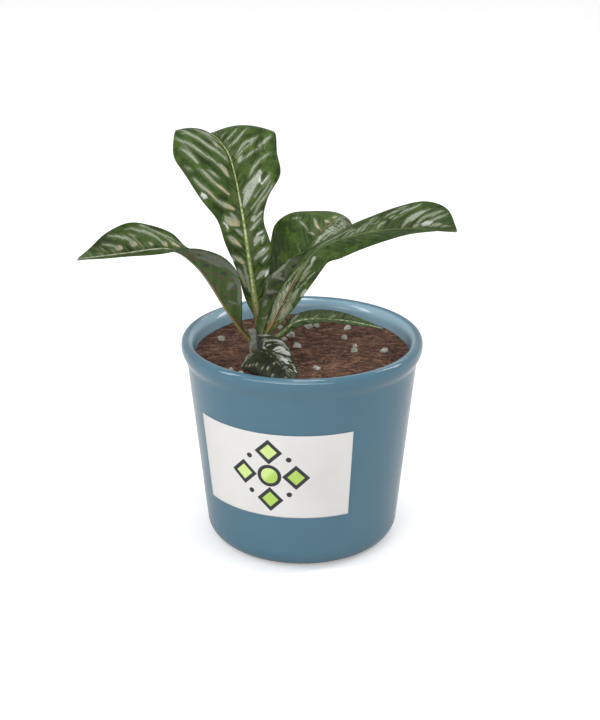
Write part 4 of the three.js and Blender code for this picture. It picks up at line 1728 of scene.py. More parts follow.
DEEP_GREENS: dict[str, Colour] = {
    "dark": srgb(33, 48, 14), "green": srgb(47, 67, 22), "light": srgb(62, 82, 32),
}
SILVER_RIB = RibFinish(
    edge=srgb(128, 138, 116), line=srgb(186, 186, 164), outer=srgb(128, 138, 116),
    foot_width=0.9, tip_width=0.4,
)
DOUBLE_RIB = RibFinish(
    edge=srgb(150, 146, 112), line=srgb(88, 56, 40), outer=srgb(84, 103, 58),
    foot=srgb(150, 106, 68), foot_width=0.95, tip_width=0.4, foot_end=0.12, outer_start=0.24,
    dash=3.0, fill=0.34,
)
BROWN_RIB = RibFinish(
    edge=srgb(92, 70, 44), line=srgb(178, 162, 122), outer=srgb(142, 150, 134),
    foot_width=1.0, tip_width=0.4, outer_start=0.72, dash=1.6, fill=0.5,
)
SPECKLED_RIB = RibFinish(
    edge=srgb(92, 112, 60), line=srgb(184, 190, 168), outer=srgb(92, 112, 60),
    foot=srgb(136, 140, 90), foot_width=1.2, tip_width=0.5, dash=1.8, fill=0.46,
)
# Painted shade: the curled leaf's greens are much darker than the other leaves', for the shade that it
# hangs in.
CURLED_UPPER = UpperFinish(
    name="curled_upper", dark=srgb(24, 30, 14), green=srgb(36, 46, 20), light=srgb(44, 50, 38),
    bloom_and_sheen=srgb(50, 56, 46), dark_patch_and_shade=srgb(24, 28, 16), halo=srgb(66, 74, 58),
    cream=srgb(140, 114, 92), silver=srgb(134, 140, 128), white=srgb(182, 188, 182),
    wild_share=0.0, halo_share=0.22, seed=31.3,
    rib=RibFinish(
        edge=srgb(38, 42, 28), line=srgb(112, 104, 84), outer=srgb(38, 42, 28),
        foot=srgb(70, 70, 54), foot_width=0.6, tip_width=0.45, dash=4.0, fill=0.46,
    ),
)

TALL_STREAKS = strokes(
    LEFT,
    (1.9, 0.3, 122.5, 0.5, 127.5, 5, 131.5, 11, 133.5, 17),
    (2.8, 0.1, 119.5, 6, 124.5, 7.5),
    (1.9, 0.4, 110, 3, 115, 7.5, 119, 13, 123.5, 17, 128.5, 23, 131, 28.5),
    (1.2, 0.5, 126, 0.5, 134, 3.5, 132.5, 11),
    (1.5, 0.5, 109, 12, 112, 16.5, 116, 20, 121, 24.5, 124.5, 29.5, 127.5, 33.5),
    (3.1, 0.1, 100, 5.5, 104.5, 7.5, 107.5, 10.5),
    (1.6, 0.1, 89, 7, 92.5, 11, 96, 16, 100.5, 20, 105, 23.5),
    (1.9, 0.35, 108.5, 23.5, 112.5, 26, 117.5, 29, 119.5, 31),
    (2.6, 0.05, 79.5, 5.5, 82, 10, 85.5, 15.5),
    (2, 0.2, 85.5, 15.5, 91, 20, 95.5, 25, 99, 27.5),
    (1.2, 0.5, 104, 28, 107, 31),
    (2.6, 1, 87.5, 21.5, 90, 24),
    (1.2, 0.5, 98.5, 12, 101, 15, 103.5, 18),
    (3.4, 0, 70, 3.5, 71, 9, 74.5, 12),
    (1.9, 0.5, 72.5, 4.5, 77, 8),
    (2.8, 0.1, 56.5, 4.5, 59.5, 8.5, 62, 11.5),
    (2.5, 0.1, 46, 4.5, 48.5, 8, 50, 11),
    (1, 0.9, 66, 11.5, 69, 11.5, 71, 13.5),
    (1.1, 0.9, 47, 11, 48.5, 12.5),
    (1.9, 0.5, 63.5, 2, 67, 6),
    (2.5, 0.4, 29, 2.5, 38, 4, 46, 4.5),
    (1.9, 0.3, 32, 5, 39.5, 8, 42.5, 9),
    (1, 0.45, 109, 3, 115, 3, 120, 5, 125.5, 9, 130.5, 13.5, 135, 19),
    (0.9, 0.5, 117, 7.5, 120.5, 13, 125.5, 18.5, 131, 25, 135, 30.5),
    (0.9, 0.35, 90, 7.5, 92.5, 11.5, 97, 16, 101.5, 20, 105.5, 23.5),
    (0.8, 0.5, 98.5, 4, 102, 6.5, 106, 10, 109, 13),
    (2, 0.15, 71.5, 3.5, 73, 7.5, 75, 11.5),
    (0.8, 0.5, 109.5, 23.5, 114, 25.5, 119, 27.5, 121, 30),
) + strokes(
    RIGHT,
    (1.2, 0.5, 125.5, 1.5, 128, 7, 131.5, 12.5, 134, 15.5),
    (1.6, 0.5, 120.5, 2.5, 123.5, 9, 128.5, 16, 133.5, 22.5),
    (1.5, 0.5, 113, 4, 117, 8.5, 121.5, 14.5, 124, 20.5, 126.5, 25),
    (2, 0.35, 109.5, 5, 112.5, 8.5),
    (1.5, 0.5, 119.5, 22.5, 124, 28.5, 129, 35),
    (1.2, 0.5, 99, 10, 106, 15.5, 111.5, 21.5, 115.5, 27),
    (0.9, 0.45, 130, 0, 134, 8.5),
    (0.9, 0.5, 87, 11.5, 93, 17.5, 97.5, 21.5, 101.5, 23.5),
    (1.6, 0.55, 76.5, 9, 82, 13, 87, 17.5, 92, 21.5, 95, 23.5),
    (2, 0.6, 72.5, 6, 75, 9),
    (1.1, 0.7, 72, 7.5, 75, 11, 77, 13.5),
    (1.5, 0.6, 66.5, 4, 69.5, 8, 73, 12),
    (3.1, 0.6, 58, 5.5, 61, 7.5, 62, 10.5),
    (1.1, 0.9, 63.5, 8, 65, 11, 65.5, 12),
    (1, 0.7, 59, 10, 63, 12),
    (2.8, 0.55, 48.5, 4, 52, 8.5, 55, 13),
    (1, 0.9, 52.5, 7, 54.5, 10.5, 56, 13),
    (1, 0.8, 46.5, 8.5, 50.5, 13),
    (2.5, 0.65, 36.5, 4, 39, 7.5, 40.5, 10),
    (1.5, 1, 37, 9, 41, 11.5),
    (1.9, 0.1, 11.5, 2, 19.5, 4),
    (5.6, 0.65, 81.5, 2.5, 87, 6, 92, 9.5, 97, 13.5, 102.5, 18),
    (3.1, 0.6, 90, 4, 94, 8.5, 98.5, 13.5),
    (1.6, 0.95, 81, 2.5, 84.5, 4, 88, 6),
    # A white loop, painted into the blade's colour.
    (1.1, 1, 102, 18.5, 100, 17, 97, 16.5, 95, 17.5, 97, 19.5, 99.5, 22),
    (0.7, 0.5, 111.5, 4, 116.5, 11, 121, 18, 126, 24.5),
    (0.7, 0.5, 108.5, 5, 112, 11.5, 115.5, 17.5, 118.5, 23),
    (0.7, 0.55, 79, 7.5, 83, 11.5, 88, 16, 93, 20, 97, 23),
)
TALL_PATCHES = strokes(
    LEFT,
    (3.1, DARK, 122, 20.5, 118, 16, 113, 12.5),
    (1.9, DARK, 113, 32.5, 110.5, 27.5),
    (4.4, DARK, 57.5, 12, 55.5, 8.5),
    (3.1, DARK, 45.5, 10, 42, 8),
    (2.5, BROWN, 20.5, 2, 12.5, 1),
) + strokes(
    RIGHT,
    (3.1, DARK, 126.5, 18, 128, 23.5),
    (3.8, DARK, 99, 18.5, 102, 22),
    (3.1, DARK, 63, 5, 67.5, 12),
    (3.8, DARK, 57, 9, 59.5, 13),
    (3.1, DARK, 75.5, 11, 80, 15),
    (2.5, BROWN, 21.5, 4.5, 24, 6),
)
TALL_LEAF = Leaf(
    name="tall_leaf", node="leaf_tall",
    midrib=[
        (-27.5, -12.5, 137.8), (-27.2, -10.5, 148.1), (-29.5, -9.5, 162.1), (-31.5, -7.5, 178.5),
        (-33.5, -6, 194), (-35.5, -2, 208), (-38, 3, 221.5), (-41, 9, 235),
        (-45.5, 18, 246.5), (-55, 36, 252.5), (-62, 55, 247), (-68, 72, 236),
    ],
    left=[
        (-29, -12.9, 137.9), (-29.3, -11.2, 148.1), (-34.9, -12.3, 162.6), (-40.2, -12.5, 181),
        (-46.5, -11, 197), (-51, -8, 210.5), (-61, -6, 223), (-70, -4, 238),
        (-77.5, 2, 249), (-76.6, 13.5, 260.8), (-77, 38, 236),
    ],
    right=[
        (-26, -13.2, 137.9), (-25.3, -10, 147.6), (-24, -9.5, 162), (-19.5, -10.5, 181.1),
        (-19, -10, 196), (-23, -6, 210.5), (-20.5, -4, 224.5), (-13.1, 0, 237.5),
        (-15, 8, 248), (-18, 21.5, 258.9), (-34, 54, 236),
    ],
    left_camber=[0, 0.3, 0.5, 1, 1, 1, 2, 3, 3.5, 3, 2, 0],
    right_camber=[0, 0.3, 0.5, 1, 1.5, 2, 3, 4, 4, 5, 3, 0],
    wave_height=0.6, wave_count=4, wave_start=0.1,
    upper=UpperFinish(
        name="tall_upper", dark=srgb(36, 52, 15), green=srgb(50, 72, 24), light=srgb(67, 89, 34),
        halo_share=0.55, seed=3.1,
    ),
    streaks=TALL_STREAKS,
    patches=TALL_PATCHES,
    under=UndersideFinish(name="tall_underside", seed=2.2),
)

LEFT_STREAKS = strokes(
    RIGHT,
    (1.2, 0.5, 77.5, 6.5, 81, 6.5, 86, 8, 89.5, 10, 92.5, 11.5, 96, 14, 100, 16),
    (1.9, 0.1, 77.5, 4, 81, 4, 84.5, 5.5),
    (1, 0.5, 84.5, 5.5, 88, 8.5, 90.5, 9.5),
    (2.5, 0.1, 83.5, 1.5, 87.5, 4),
    (1.4, 0.5, 87.5, 4, 91.5, 7.5, 95, 10, 99.5, 12, 104, 14, 108, 14.5),
    (1.6, 0.15, 91.5, 2.5, 94, 4),
    (3.1, 0.15, 101.5, 4, 105, 5.5),
    (1.6, 0.5, 104, 6.5, 107.5, 8.5, 112.5, 10.5, 117.5, 12),
    (3.1, 0.1, 110, 3, 113.5, 4),
    (1.4, 0.5, 114, 5, 117.5, 6, 121, 7),
    (0.9, 0.3, 121, 1, 125, 1.5),
    (0.7, 0.4, 101, 8.5, 106, 11),
)
LEFT_PATCHES = strokes(
    LEFT,
    # The grey rows are partly the leaf's own grey and partly painted sheen, most of all the first two,
    # which run along the lit crest.
    (7, BLOOM, 71, 11, 66, 15, 61, 17.5, 56, 19, 50, 21, 44, 22),
    (4.2, BLOOM, 67, 7, 62, 10.5, 57, 13.5, 52, 16.5),
    (2.2, BLOOM, 47, 17, 42, 19, 36, 18),
    (3.8, BROWN, 71.5, 7, 69, 4.5, 66, 3),
    (2.5, BROWN, 74.5, 2.5, 70, 0),
    (3.1, BLOOM, 41, 22.5, 35, 18.5, 28.5, 14, 24.5, 11),
    (3.2, BLOOM, 38.5, 8.5, 40, 12.5, 41, 17.5),
    (1.8, BLOOM, 30.5, 5, 27.5, 9),
    (3.4, DARK, 60, 5, 57, 8),
    (3.0, DARK, 49.5, 11.5, 48, 15),
    (1.6, BROWN, 64, 5, 61, 8.5, 58.5, 12),
    (2.2, BROWN, 58, 1, 54, 1.5, 53, 6),
    (2.6, BROWN, 51.5, 1.5, 47, 1, 42, 1, 37, 0.5),
    (1.5, BROWN, 50, 8, 46.5, 9.5, 43.5, 11),
    (1.5, BROWN, 43.5, 13, 43, 17.5, 41, 19),
    (1.6, BROWN, 38, 12, 37, 16),
    (1.3, BROWN, 35, 7, 33, 10),
    (3.4, BROWN, 21, 0.5, 16, 0.5, 10.5, 0, 6, 0),
)
LEFT_LEAF = Leaf(
    name="left_leaf", node="leaf_left",
    midrib=[
        (-31, -19, 138.3), (-37, -22, 146.5), (-42.5, -24, 155.5), (-48.8, -26, 166.6),
        (-54.8, -28, 177.6), (-60.8, -30, 187.1), (-67, -31, 194), (-73.2, -32, 198.8),
        (-81.5, -32, 200.8), (-92, -33, 200.3), (-104, -33, 198.4), (-116, -33, 196.9),
        (-126, -32, 195.3), (-134.5, -31, 193.9),
    ],
    left=[
        (-30.6, -19.8, 138.9), (-36.2, -24, 147.6), (-36, -32, 162.5), (-36, -37, 176),
        (-39, -41, 190), (-47, -44, 200), (-58, -46, 205), (-67.5, -47, 205.5),
        (-76.5, -48, 204), (-87.5, -49, 203), (-100, -48, 201.5), (-113.5, -44, 199),
        (-125, -38, 196.5),
    ],
    right=[
        (-31.3, -18, 138.7), (-37.2, -20.5, 147.6), (-39, -19, 158.5), (-40, -19, 169),
        (-43.5, -19, 179), (-50.5, -20, 187), (-59, -21, 194.5), (-69, -22, 198.5),
        (-77.5, -23, 207.5), (-90.5, -23, 212.5), (-103.5, -23, 214), (-117, -24, 208),
        (-127, -27, 199.2),
    ],
    left_camber=[0, 0.5, 1, 1, 1, 1, 1, 0.5, 0, 0, 0, 0, 0, 0],
    right_camber=[0, -0.5, -1, -1, -1, -1, 0, 1, 2, 2, 2, 1, 0.5, 0],
    wave_height=0.3, wave_count=4,
    upper=UpperFinish(
        name="left_upper", silver=srgb(134, 142, 122), white=srgb(196, 203, 196),
        rib=SILVER_RIB, wild_start=0.62, seed=8.4, **DEEP_GREENS,
    ),
    streaks=LEFT_STREAKS,
    patches=LEFT_PATCHES,
    under=UndersideFinish(
        name="left_underside", green=srgb(68, 90, 40), bloom_and_sheen=srgb(98, 105, 92), grey_low=0.68,
        brown_foot=0.8, seed=5.5,
    ),
)

RIGHT_STREAKS = strokes(
    LEFT,
    (1, 0.45, 11.5, 2.5, 17.5, 3, 22.5, 4.5, 27, 5.5, 31, 5.5, 36, 6),
    (1, 0.5, 37, 6, 41, 5.5, 44.5, 4, 48, 3.5, 51.5, 2, 54, 0),
    (1.4, 0.95, 27, 3, 24, 1.5, 20.5, 0.5, 17.5, 0),
    (1.9, 0.75, 35.5, 3.5, 32.5, 1, 30.5, 1),
    (1.4, 0.85, 40, 2.5, 37.5, 1.5, 34.5, 1.5),
    (0.9, 0.6, 40, 4.5, 36.5, 4),
    (0.9, 0.35, 33.5, 4.5, 29, 3, 24.5, 3),
    (0.9, 0.2, 21.5, 3, 17.5, 1.5, 13, 1),
    (1.5, 0.5, 68, 2, 73, 3, 78.5, 3.5, 85, 5, 91.5, 6.5),
    (1, 0.5, 71.5, 0, 75.5, 0, 80, 0),
    (0.9, 0.5, 83, 0, 86.5, 2.5, 91, 4.5, 94.5, 4.5, 100, 7.5),
    (1, 0.5, 91, 0, 94, 2, 98, 2.5, 101, 6, 105.5, 5.5, 109, 9),
    (1, 0.5, 103, 8.5, 105.5, 10.5, 108, 10.5),
    (1.4, 0.6, 111, 9, 113.5, 10.5, 115, 12),
    (1.9, 0.6, 116, 12, 119.5, 13),
    (1.5, 0.6, 114.5, 7.5, 117.5, 9),
    (1.1, 0.5, 105.5, 1.5, 108, 4, 111.5, 5.5),
    (1.6, 0.6, 120.5, 9.5, 122.5, 11.5, 126, 13.5, 129, 15, 131.5, 17.5),
    (0.9, 0.5, 119, 15, 122.5, 15.5, 125, 16),
    (3, 0.65, 121, 2, 124.5, 5, 128, 7.5, 130.5, 9.5, 134.5, 12),
    (1.2, 0.4, 133, 11, 136, 13, 138, 14.5),
    (3, 0.95, 132, 2.5, 135, 3, 138, 4.5),
    (2.1, 0.5, 130, 3.5, 133.5, 7, 137, 9, 141, 12.5, 142.5, 13.5),
    (1.9, 0.4, 136.5, 4.5, 140, 7, 144, 10, 145.5, 12),
    (2.2, 0.6, 137, 1.5, 141, 3, 143.5, 3.5),
    (1.2, 0.4, 143, 2, 148.5, 3),
    (1.9, 0.15, 127.5, 1, 131, 2),
    (2.1, 0.55, 97.5, 0, 102, 0, 104.5, 0),
    (0.7, 0.6, 83, 0, 89, 1.5, 95, 3.5, 101, 6, 107, 8.5),
    (0.7, 0.6, 86, 0, 92, 1.5, 96.5, 3, 98.5, 5, 104, 8, 109, 10),
    (0.7, 0.6, 110.5, 9.5, 114, 10.5, 118.5, 12.5, 123.5, 14),
    (0.7, 0.55, 115, 6.5, 119.5, 8, 123, 10.5, 128, 13.5),
) + strokes(
    RIGHT,
    (1.4, 0.55, 49.5, 0.5, 45.5, 0.5, 41.5, 1, 37.5, 1.5),
    (1.2, 0.5, 37, 1.5, 33, 3, 29, 3, 24.5, 3),
    (0.9, 0.1, 30, 3, 25, 2.5, 20, 2.5, 15, 3),
    (0.8, 0.05, 24, 4, 19.5, 4, 16, 4),
    (1, 0.45, 53.5, 1.5, 51, 1, 48.5, 0.5),
    (1.4, 0.6, 59.5, 4.5, 55, 6.5, 51.5, 5, 48.5, 4),
    (2.6, 0.8, 61, 4, 59, 4.5, 55.5, 6),
    (2.8, 0.4, 29, 6, 25.5, 6, 21.5, 5, 18.5, 4.5),
    (1.9, 0.45, 37.5, 7, 34.5, 6, 31.5, 5.5),
    (2.1, 0.8, 40, 12, 37.5, 11.5, 35, 11),
    (0.8, 0.5, 44.5, 8.5, 40.5, 7.5, 37, 5.5),
    (0.8, 0.45, 51.5, 7.5, 47.5, 7, 44.5, 6),
    (1, 0.4, 51, 12, 47.5, 10, 43.5, 9),
    (2.2, 0.45, 61, 0, 56.5, 1, 52, 2),
)
RIGHT_PATCHES = strokes(
    LEFT,
    (5.6, BLOOM, 10.5, 0, 19, 1.5, 27, 2, 34.5, 2, 41, 2),
    (2.2, BROWN, 8, 0, 11.5, 1, 15.5, 2),
    (2.5, BLOOM, 24, 3.5, 32, 3.5, 38, 3),
) + strokes(
    RIGHT,
    (5.2, DULL, 15, 5, 23, 5.5, 31, 6, 39, 6.5),
    (2.2, BROWN, 9, 3.5, 13.5, 3.5, 17, 2.5),
    (2.2, BLOOM, 50, 5.5, 44.5, 5, 39, 5),
    (3.1, BLOOM, 39.5, 6.5, 33.5, 6.5, 27.5, 5.5),
    (1.9, DARK, 52.5, 12, 49, 11, 44.5, 10),
    (4.4, DARK, 100, 9.5, 105.5, 8.5, 112.5, 9.5, 120.5, 8.5, 125, 9.5),
    (2.5, DARK, 97, 11.5, 100.5, 11.5),
    (1.9, DARK, 127, 9, 131, 10),
    (1.9, DARK, 79.5, 11, 82, 5.5),
)
RIGHT_LEAF = Leaf(
    name="right_leaf", node="leaf_right",
    midrib=[
        (-24.5, -17.5, 137), (-16, -17, 152), (-10, -17, 164.5), (-3.5, -16, 177),
        (1.5, -15, 186), (8.5, -14, 194), (18, -13, 199), (30.5, -12, 202.5),
        (44.5, -11, 205), (59, -11, 206.5), (73, -12, 207), (84, -13, 206.5),
        (93.5, -15, 206.5),
    ],
    left=[
        (-25.5, -16, 138), (-20.5, -14, 153), (-16, -13, 164), (-10, -11, 174.5),
        (-2.8, -9, 183.6), (5.0, -6, 192.3), (16, -2, 198), (28.5, 0, 205),
        (42, 2, 210.2), (57, 3, 216), (74.5, 3, 219.6), (88, -2, 216.3),
    ],
    right=[
        (-23, -19, 137.5), (-11, -22, 152), (-2, -25, 164.5), (6, -26, 177),
        (13.5, -26, 188), (17.5, -25, 191), (23.5, -24, 192.5), (34, -24, 197),
        (47, -24, 202.5), (60.5, -24, 206.5), (73.5, -23, 208.5), (83, -19, 208),
    ],
    left_camber=[0, 0.5, 1, 1, 0.5, 0, 0.5, 1, 1.5, 2, 2, 1, 0],
    right_camber=[0, 0.5, 1, 1, 0.5, 0.5, 1, 1, 1, 0.5, 0.5, 0.3, 0],
    wave_height=0.3, wave_count=5,
    upper=UpperFinish(
        name="right_upper", silver=srgb(128, 136, 114), white=srgb(184, 192, 184), seed=12.7,
        rib=DOUBLE_RIB, halo_share=0.2, **DEEP_GREENS,
    ),
    streaks=RIGHT_STREAKS,
    patches=RIGHT_PATCHES,
    under=UndersideFinish(name="right_underside", seed=9.5),
)

MIDDLE_STREAKS = strokes(
    RIGHT,
    (1.7, 0.6, 78.5, 16, 79.5, 11.5, 81.5, 7.5, 87.5, 6.5, 92.5, 4),
    (0.9, 0.6, 82, 8.5, 86, 7, 92, 7.5, 99.5, 5),
    (0.9, 0.5, 88, 10, 93.5, 9, 102, 6.5),
    (1, 0.6, 91.5, 8, 96, 5, 106, 1),
    (0.8, 0.6, 78, 15.5, 79.5, 10, 83, 5, 89.5, 3.5, 95.5, 0),
    (0.7, 0.6, 80.5, 16, 84, 11.5, 89.5, 8.5, 95, 4.5, 101.5, 0.5),
    (0.7, 0.55, 82, 17, 86.5, 14, 91.5, 11.5, 98, 7.5, 107, 1),
    (0.6, 0.55, 84.5, 16.5, 89.5, 15, 94.5, 12, 101.5, 8),
) + strokes(
    LEFT,
    (1.2, 0.6, 79.5, 0, 86, 0, 94, 0, 102, 3.5),
    (1.9, 0.1, 91, 2.5, 93.5, 3),
    (2.2, 0, 87, 1.5, 85.5, 4),
    (1.9, 0.05, 78.5, 1, 79, 4.5, 81, 10),
    (1.5, 0.3, 73.5, 1.5, 72, 6),
    (1.2, 0.4, 73, 6.5, 74, 11.5, 74.5, 15.5),
    (1, 0.5, 76, 16.5, 73.5, 20),
)
MIDDLE_PATCHES = strokes(
    RIGHT,
    # Painted sheen: the first grey row is the lit edge of the fold on the lower limb; the dull and dark
    # rows are the leaf's own cross bands.
    (3.1, BLOOM, 63.5, 17.5, 59, 17.5, 55, 19, 49.5, 19.5, 45.5, 19),
    (1.9, DULL, 46, 18.5, 45, 14, 43, 8.5, 41, 4),
    (2.2, DULL, 47, 16.5, 49.5, 15),
    (1.4, DULL, 43.5, 21.5, 36.5, 17, 30.5, 13),
    (1.7, DULL, 31, 14, 31.5, 9.5, 32, 4.5),
    (2.5, DULL, 20.5, 8, 23.5, 9, 24.5, 8),
    (1.2, DULL, 11.5, 3.5, 13, 1, 14.5, 0),
    (1.1, DULL, 5.5, 0.5, 8.5, 0, 11, 0),
    (2.8, DARK, 36, 14, 38, 12.5, 41.5, 13),
    (2.5, DARK, 27, 9, 28, 7),
    (1.9, DARK, 41.5, 11.5, 40.5, 9.5),
    (2.5, DARK, 54, 10, 53, 6.5, 52.5, 3.5),
    (0.9, BROWN, 48.5, 13, 45, 9, 46.5, 8),
    (0.7, BROWN, 34, 10.5, 33, 6),
    (0.7, BROWN, 18, 0, 20, 0),
    (0.7, BROWN, 50.5, 8, 48.5, 8),
    (0.8, BROWN, 38, 9, 38.5, 6.5),
    (0.7, BROWN, 15, 3, 16, 0),
) + strokes(
    LEFT,
    # Painted shade: these dark rows stand for the shade inside the fold.
    (7.4, DARK, 49, 21, 52, 22, 57, 22.5, 64.5, 23, 70, 21),
    (3, DARK, 39, 17.5, 46, 21.5),
)
MIDDLE_LEAF = Leaf(
    name="middle_leaf", node="leaf_middle",
    midrib=[
        (-26.5, -14.5, 138.5), (-20.5, -10, 151.5), (-12, -5, 161.5), (-3, -1, 171.5),
        (2, 4, 180.5), (5, 11, 188.5), (10, 17, 194.5), (16, 23, 197.5),
        (23, 30, 200), (28.5, 40, 195), (34, 52, 186),
    ],
    left=[
        (-26, -12.8, 139), (-22.5, -3, 154), (-22.5, 6, 165.5), (-21.5, 14, 177),
        (-19.5, 21, 188.5), (-16.5, 27, 198), (-7, 32, 203.6), (7, 36, 203.5),
        (21, 40, 201.5), (29.5, 46, 195.6),
    ],
    right=[
        (-29, -15.3, 140.5), (-27, -15, 153.7), (-23.8, -13, 165), (-23, -12, 173.7),
        (-15.5, -7, 178.7), (-7, -2, 185), (3, 3, 187), (13, 9, 189),
        (22.5, 17, 191.5), (30, 30, 192),
    ],
    left_camber=[0, -0.5, -1, 0, 1, 1.5, 1.5, 1.5, 1, 0.5, 0],
    right_camber=[0, 0.5, 1, 0.5, 0, 0, 1, 1, 1, 0.5, 0],
    wave_height=0.3, wave_count=3,
    upper=UpperFinish(name="middle_upper", seed=17.9, rib=BROWN_RIB),
    streaks=MIDDLE_STREAKS,
    patches=MIDDLE_PATCHES,
    # The underside's grey is made pale, a painted sheen on the lit edge of the fold.
    under=UndersideFinish(name="middle_underside", seed=13.1, bloom_and_sheen=srgb(136, 142, 126)),
)

LOW_STREAKS = strokes(
    LEFT,
    (1.5, 0.7, 11.5, 0, 15, 0),
    (1.2, 0.5, 19.5, 1, 25, 3, 28.5, 4.5),
    (0.9, 0.5, 35.5, 0, 40.5, 1.5),
    (0.9, 0.4, 49.5, 0.5, 54.5, 2.5),
)
LOW_PATCHES = strokes(
    RIGHT,
    (1.6, DARK, 24, 4.5, 33.5, 5, 48.5, 4, 65, 3, 77, 2.5),
) + strokes(
    LEFT,
    (1.9, DARK, 20.5, 1.5, 24, 2.5),
    (1.5, DARK, 29.5, 2, 34, 3),
)
LOW_LEAF = Leaf(
    name="low_leaf", node="leaf_low",
    midrib=[
        (-21.5, -14.5, 136), (-13, -9, 138.2), (-5, -2, 142.8), (4, 5, 142.5),
        (14.5, 12, 140), (27.5, 20, 136), (40.5, 27, 131), (53, 33, 125.6),
    ],
    left=[
        (-22, -13.2, 136.5), (-13.8, -7.2, 139.2), (-8, 2, 144.5), (2, 10, 145.8),
        (13.5, 18, 144.3), (27, 25, 139.3), (40, 30, 132.7),
    ],
    right=[
        (-20.5, -15.5, 135.8), (-11.8, -11.2, 137), (-3, -5, 140.5), (5.5, 0.5, 141.3),
        (15.5, 8, 139), (28, 17, 134.5), (40.5, 25, 129.7),
    ],
    left_camber=[0, 0.3, 0.5, 0.8, 1, 0.7, 0.3, 0],
    right_camber=[0, 0.2, 0.4, 0.5, 0.5, 0.3, 0.2, 0],
    wave_height=0.2, wave_count=3,
    rows=160, half_columns=20,
    upper=UpperFinish(name="low_upper", seed=23.3, rib=SPECKLED_RIB, **DEEP_GREENS),
    streaks=LOW_STREAKS,
    patches=LOW_PATCHES,
    under=UndersideFinish(name="low_underside", seed=17.7),
)

CURLED_STREAKS = strokes(
    LEFT,
    (1.5, 0.6, 3.5, 6.5, 6.5, 7.5, 9, 9, 13, 11, 16, 11.5, 19, 11.5, 21.5, 10.5),
    (2.1, 0.85, 12, 10, 14, 11.5, 16.5, 11.5),
    (1, 0.55, 0.5, 9, 2.5, 10, 5, 11, 8, 12),
    (1, 0.8, 3, 7, 4, 8, 5.5, 8.5),
    (0.9, 0.5, 4.5, 6.5, 4.5, 4.5, 4, 3),
    (1.4, 0.7, 7, 4, 8, 5, 10, 6),
    (0.9, 0.55, 11.5, 7.5, 14, 9.5, 16.5, 10.5, 19.5, 9.5),
    (2.8, 0.8, 14, 4, 15.5, 7, 17.5, 8, 20.5, 8.5, 23, 9.5),
    (2.5, 0.75, 15.5, 4.5, 18, 6, 21, 7.5, 23.5, 8.5),
    (1.2, 0.95, 4.5, 2.5, 7.5, 2),
    (1.1, 0.6, 17, 3, 20.5, 4, 23.5, 4.5),
    (2.4, 0.9, 22, 3, 24.5, 4, 26, 4, 28, 4.5),
    (1.5, 0.8, 28.5, 5.5, 30.5, 6, 32.5, 5, 35, 4.5),
    (0.8, 0.5, 21.5, 1.5, 25.5, 1.5, 30, 1, 33.5, 1.5, 37.5, 0.5),
    (0.7, 0.5, 26, 2, 30, 2.5, 33.5, 3, 36.5, 2),
    (0.7, 0.4, 14.5, 2.5, 18.5, 2.5, 23, 2),
    (0.7, 0.5, 24, 6, 26, 6.5, 28.5, 5.5),
) + strokes(
    RIGHT,
    (1.4, 0.5, 9, 8, 9.5, 11.5, 12.5, 14.5, 16.5, 18.5, 21, 22),
    (0.9, 0.5, 11, 10.5, 13.5, 14, 17, 17),
    (0.9, 0.05, 23, 18.5, 21, 16.5),
    (0.8, 0.1, 22.5, 16, 21.5, 14.5),
    (0.9, 0.05, 23, 14, 20.5, 12),
    (1, 0.1, 27.5, 13, 24.5, 10.5),
    (0.9, 0.3, 28.5, 10.5, 25, 7.5),
    (0.8, 0.05, 23, 3, 21, 1.5),
    (0.8, 0.05, 34, 11, 32.5, 9),
    (1.2, 0.2, 36.5, 5, 36, 4),
    (0.7, 0.2, 22.5, 20, 19.5, 17.5),
)
CURLED_PATCHES = strokes(
    RIGHT,
    # Painted shade: the dark rows darken the half that hangs down towards the soil.
    (5.6, DARK, 14.5, 3, 21, 3.5, 30, 4, 35, 5),
    (3.1, DARK, 13, 4.5, 19, 4.5, 20.5, 9),
    (3.8, DARK, 24.5, 20.5, 28, 18.5, 30.5, 16),
    (3.1, BLOOM, 18.5, 15, 22, 13.5, 26.5, 13.5),
    (2.5, BLOOM, 30.5, 12, 34.5, 9),
) + strokes(
    LEFT,
    (2.2, DARK, 0, 8, 2.5, 9, 5, 9.5),
    (1.6, DARK, 6, 5.5, 9, 7, 12, 9),
    (1.6, DARK, 9.5, 4, 12.5, 6.5, 14.5, 9, 17.5, 9.5),
    (1.5, DARK, 18.5, 4.5, 22, 5.5, 25, 7),
    (2.2, DARK, 17.5, 1, 20.5, 2.5, 22.5, 1.5),
    (1.5, DARK, 25, 2.5, 29, 3, 31.5, 3.5, 35.5, 3),
)
CURLED_LEAF = Leaf(
    name="curled_leaf", node="leaf_curled",
    midrib=[
        (-27.3, -22.5, 132.5), (-25.2, -24.5, 132.4), (-21.4, -29, 133),
        (-18.5, -34.5, 132.5), (-14.5, -39.5, 130.5), (-11, -44, 128),
        (-7.5, -48, 126), (-4.5, -50.5, 124.8),
    ],
    left=[
        (-27.4, -19.3, 142.4), (-23.5, -19.5, 141.8), (-16.5, -21.5, 141), (-11, -26.5, 139),
        (-7, -33, 135.5), (-4.5, -39.5, 131.5), (-3, -45, 127.5),
    ],
    right=[
        (-28.8, -22.8, 131.6), (-30, -25.5, 132.2), (-33, -29, 131.5), (-35.5, -33, 129),
        (-37, -37.5, 127), (-31, -43, 126.5), (-21.5, -48, 125.3),
    ],
    left_camber=[0, 0.5, 1, 1.5, 1.8, 1.2, 0.5, 0],
    right_camber=[0, 0.3, 0.8, 1.2, 1.5, 1, 0.5, 0],
    wave_height=0.3, wave_count=3,
    rows=160, half_columns=36, slot="leaf_dark",
    upper=CURLED_UPPER,
    streaks=CURLED_STREAKS,
    patches=CURLED_PATCHES,
    under=UndersideFinish(name="curled_underside", seed=21.7),
)


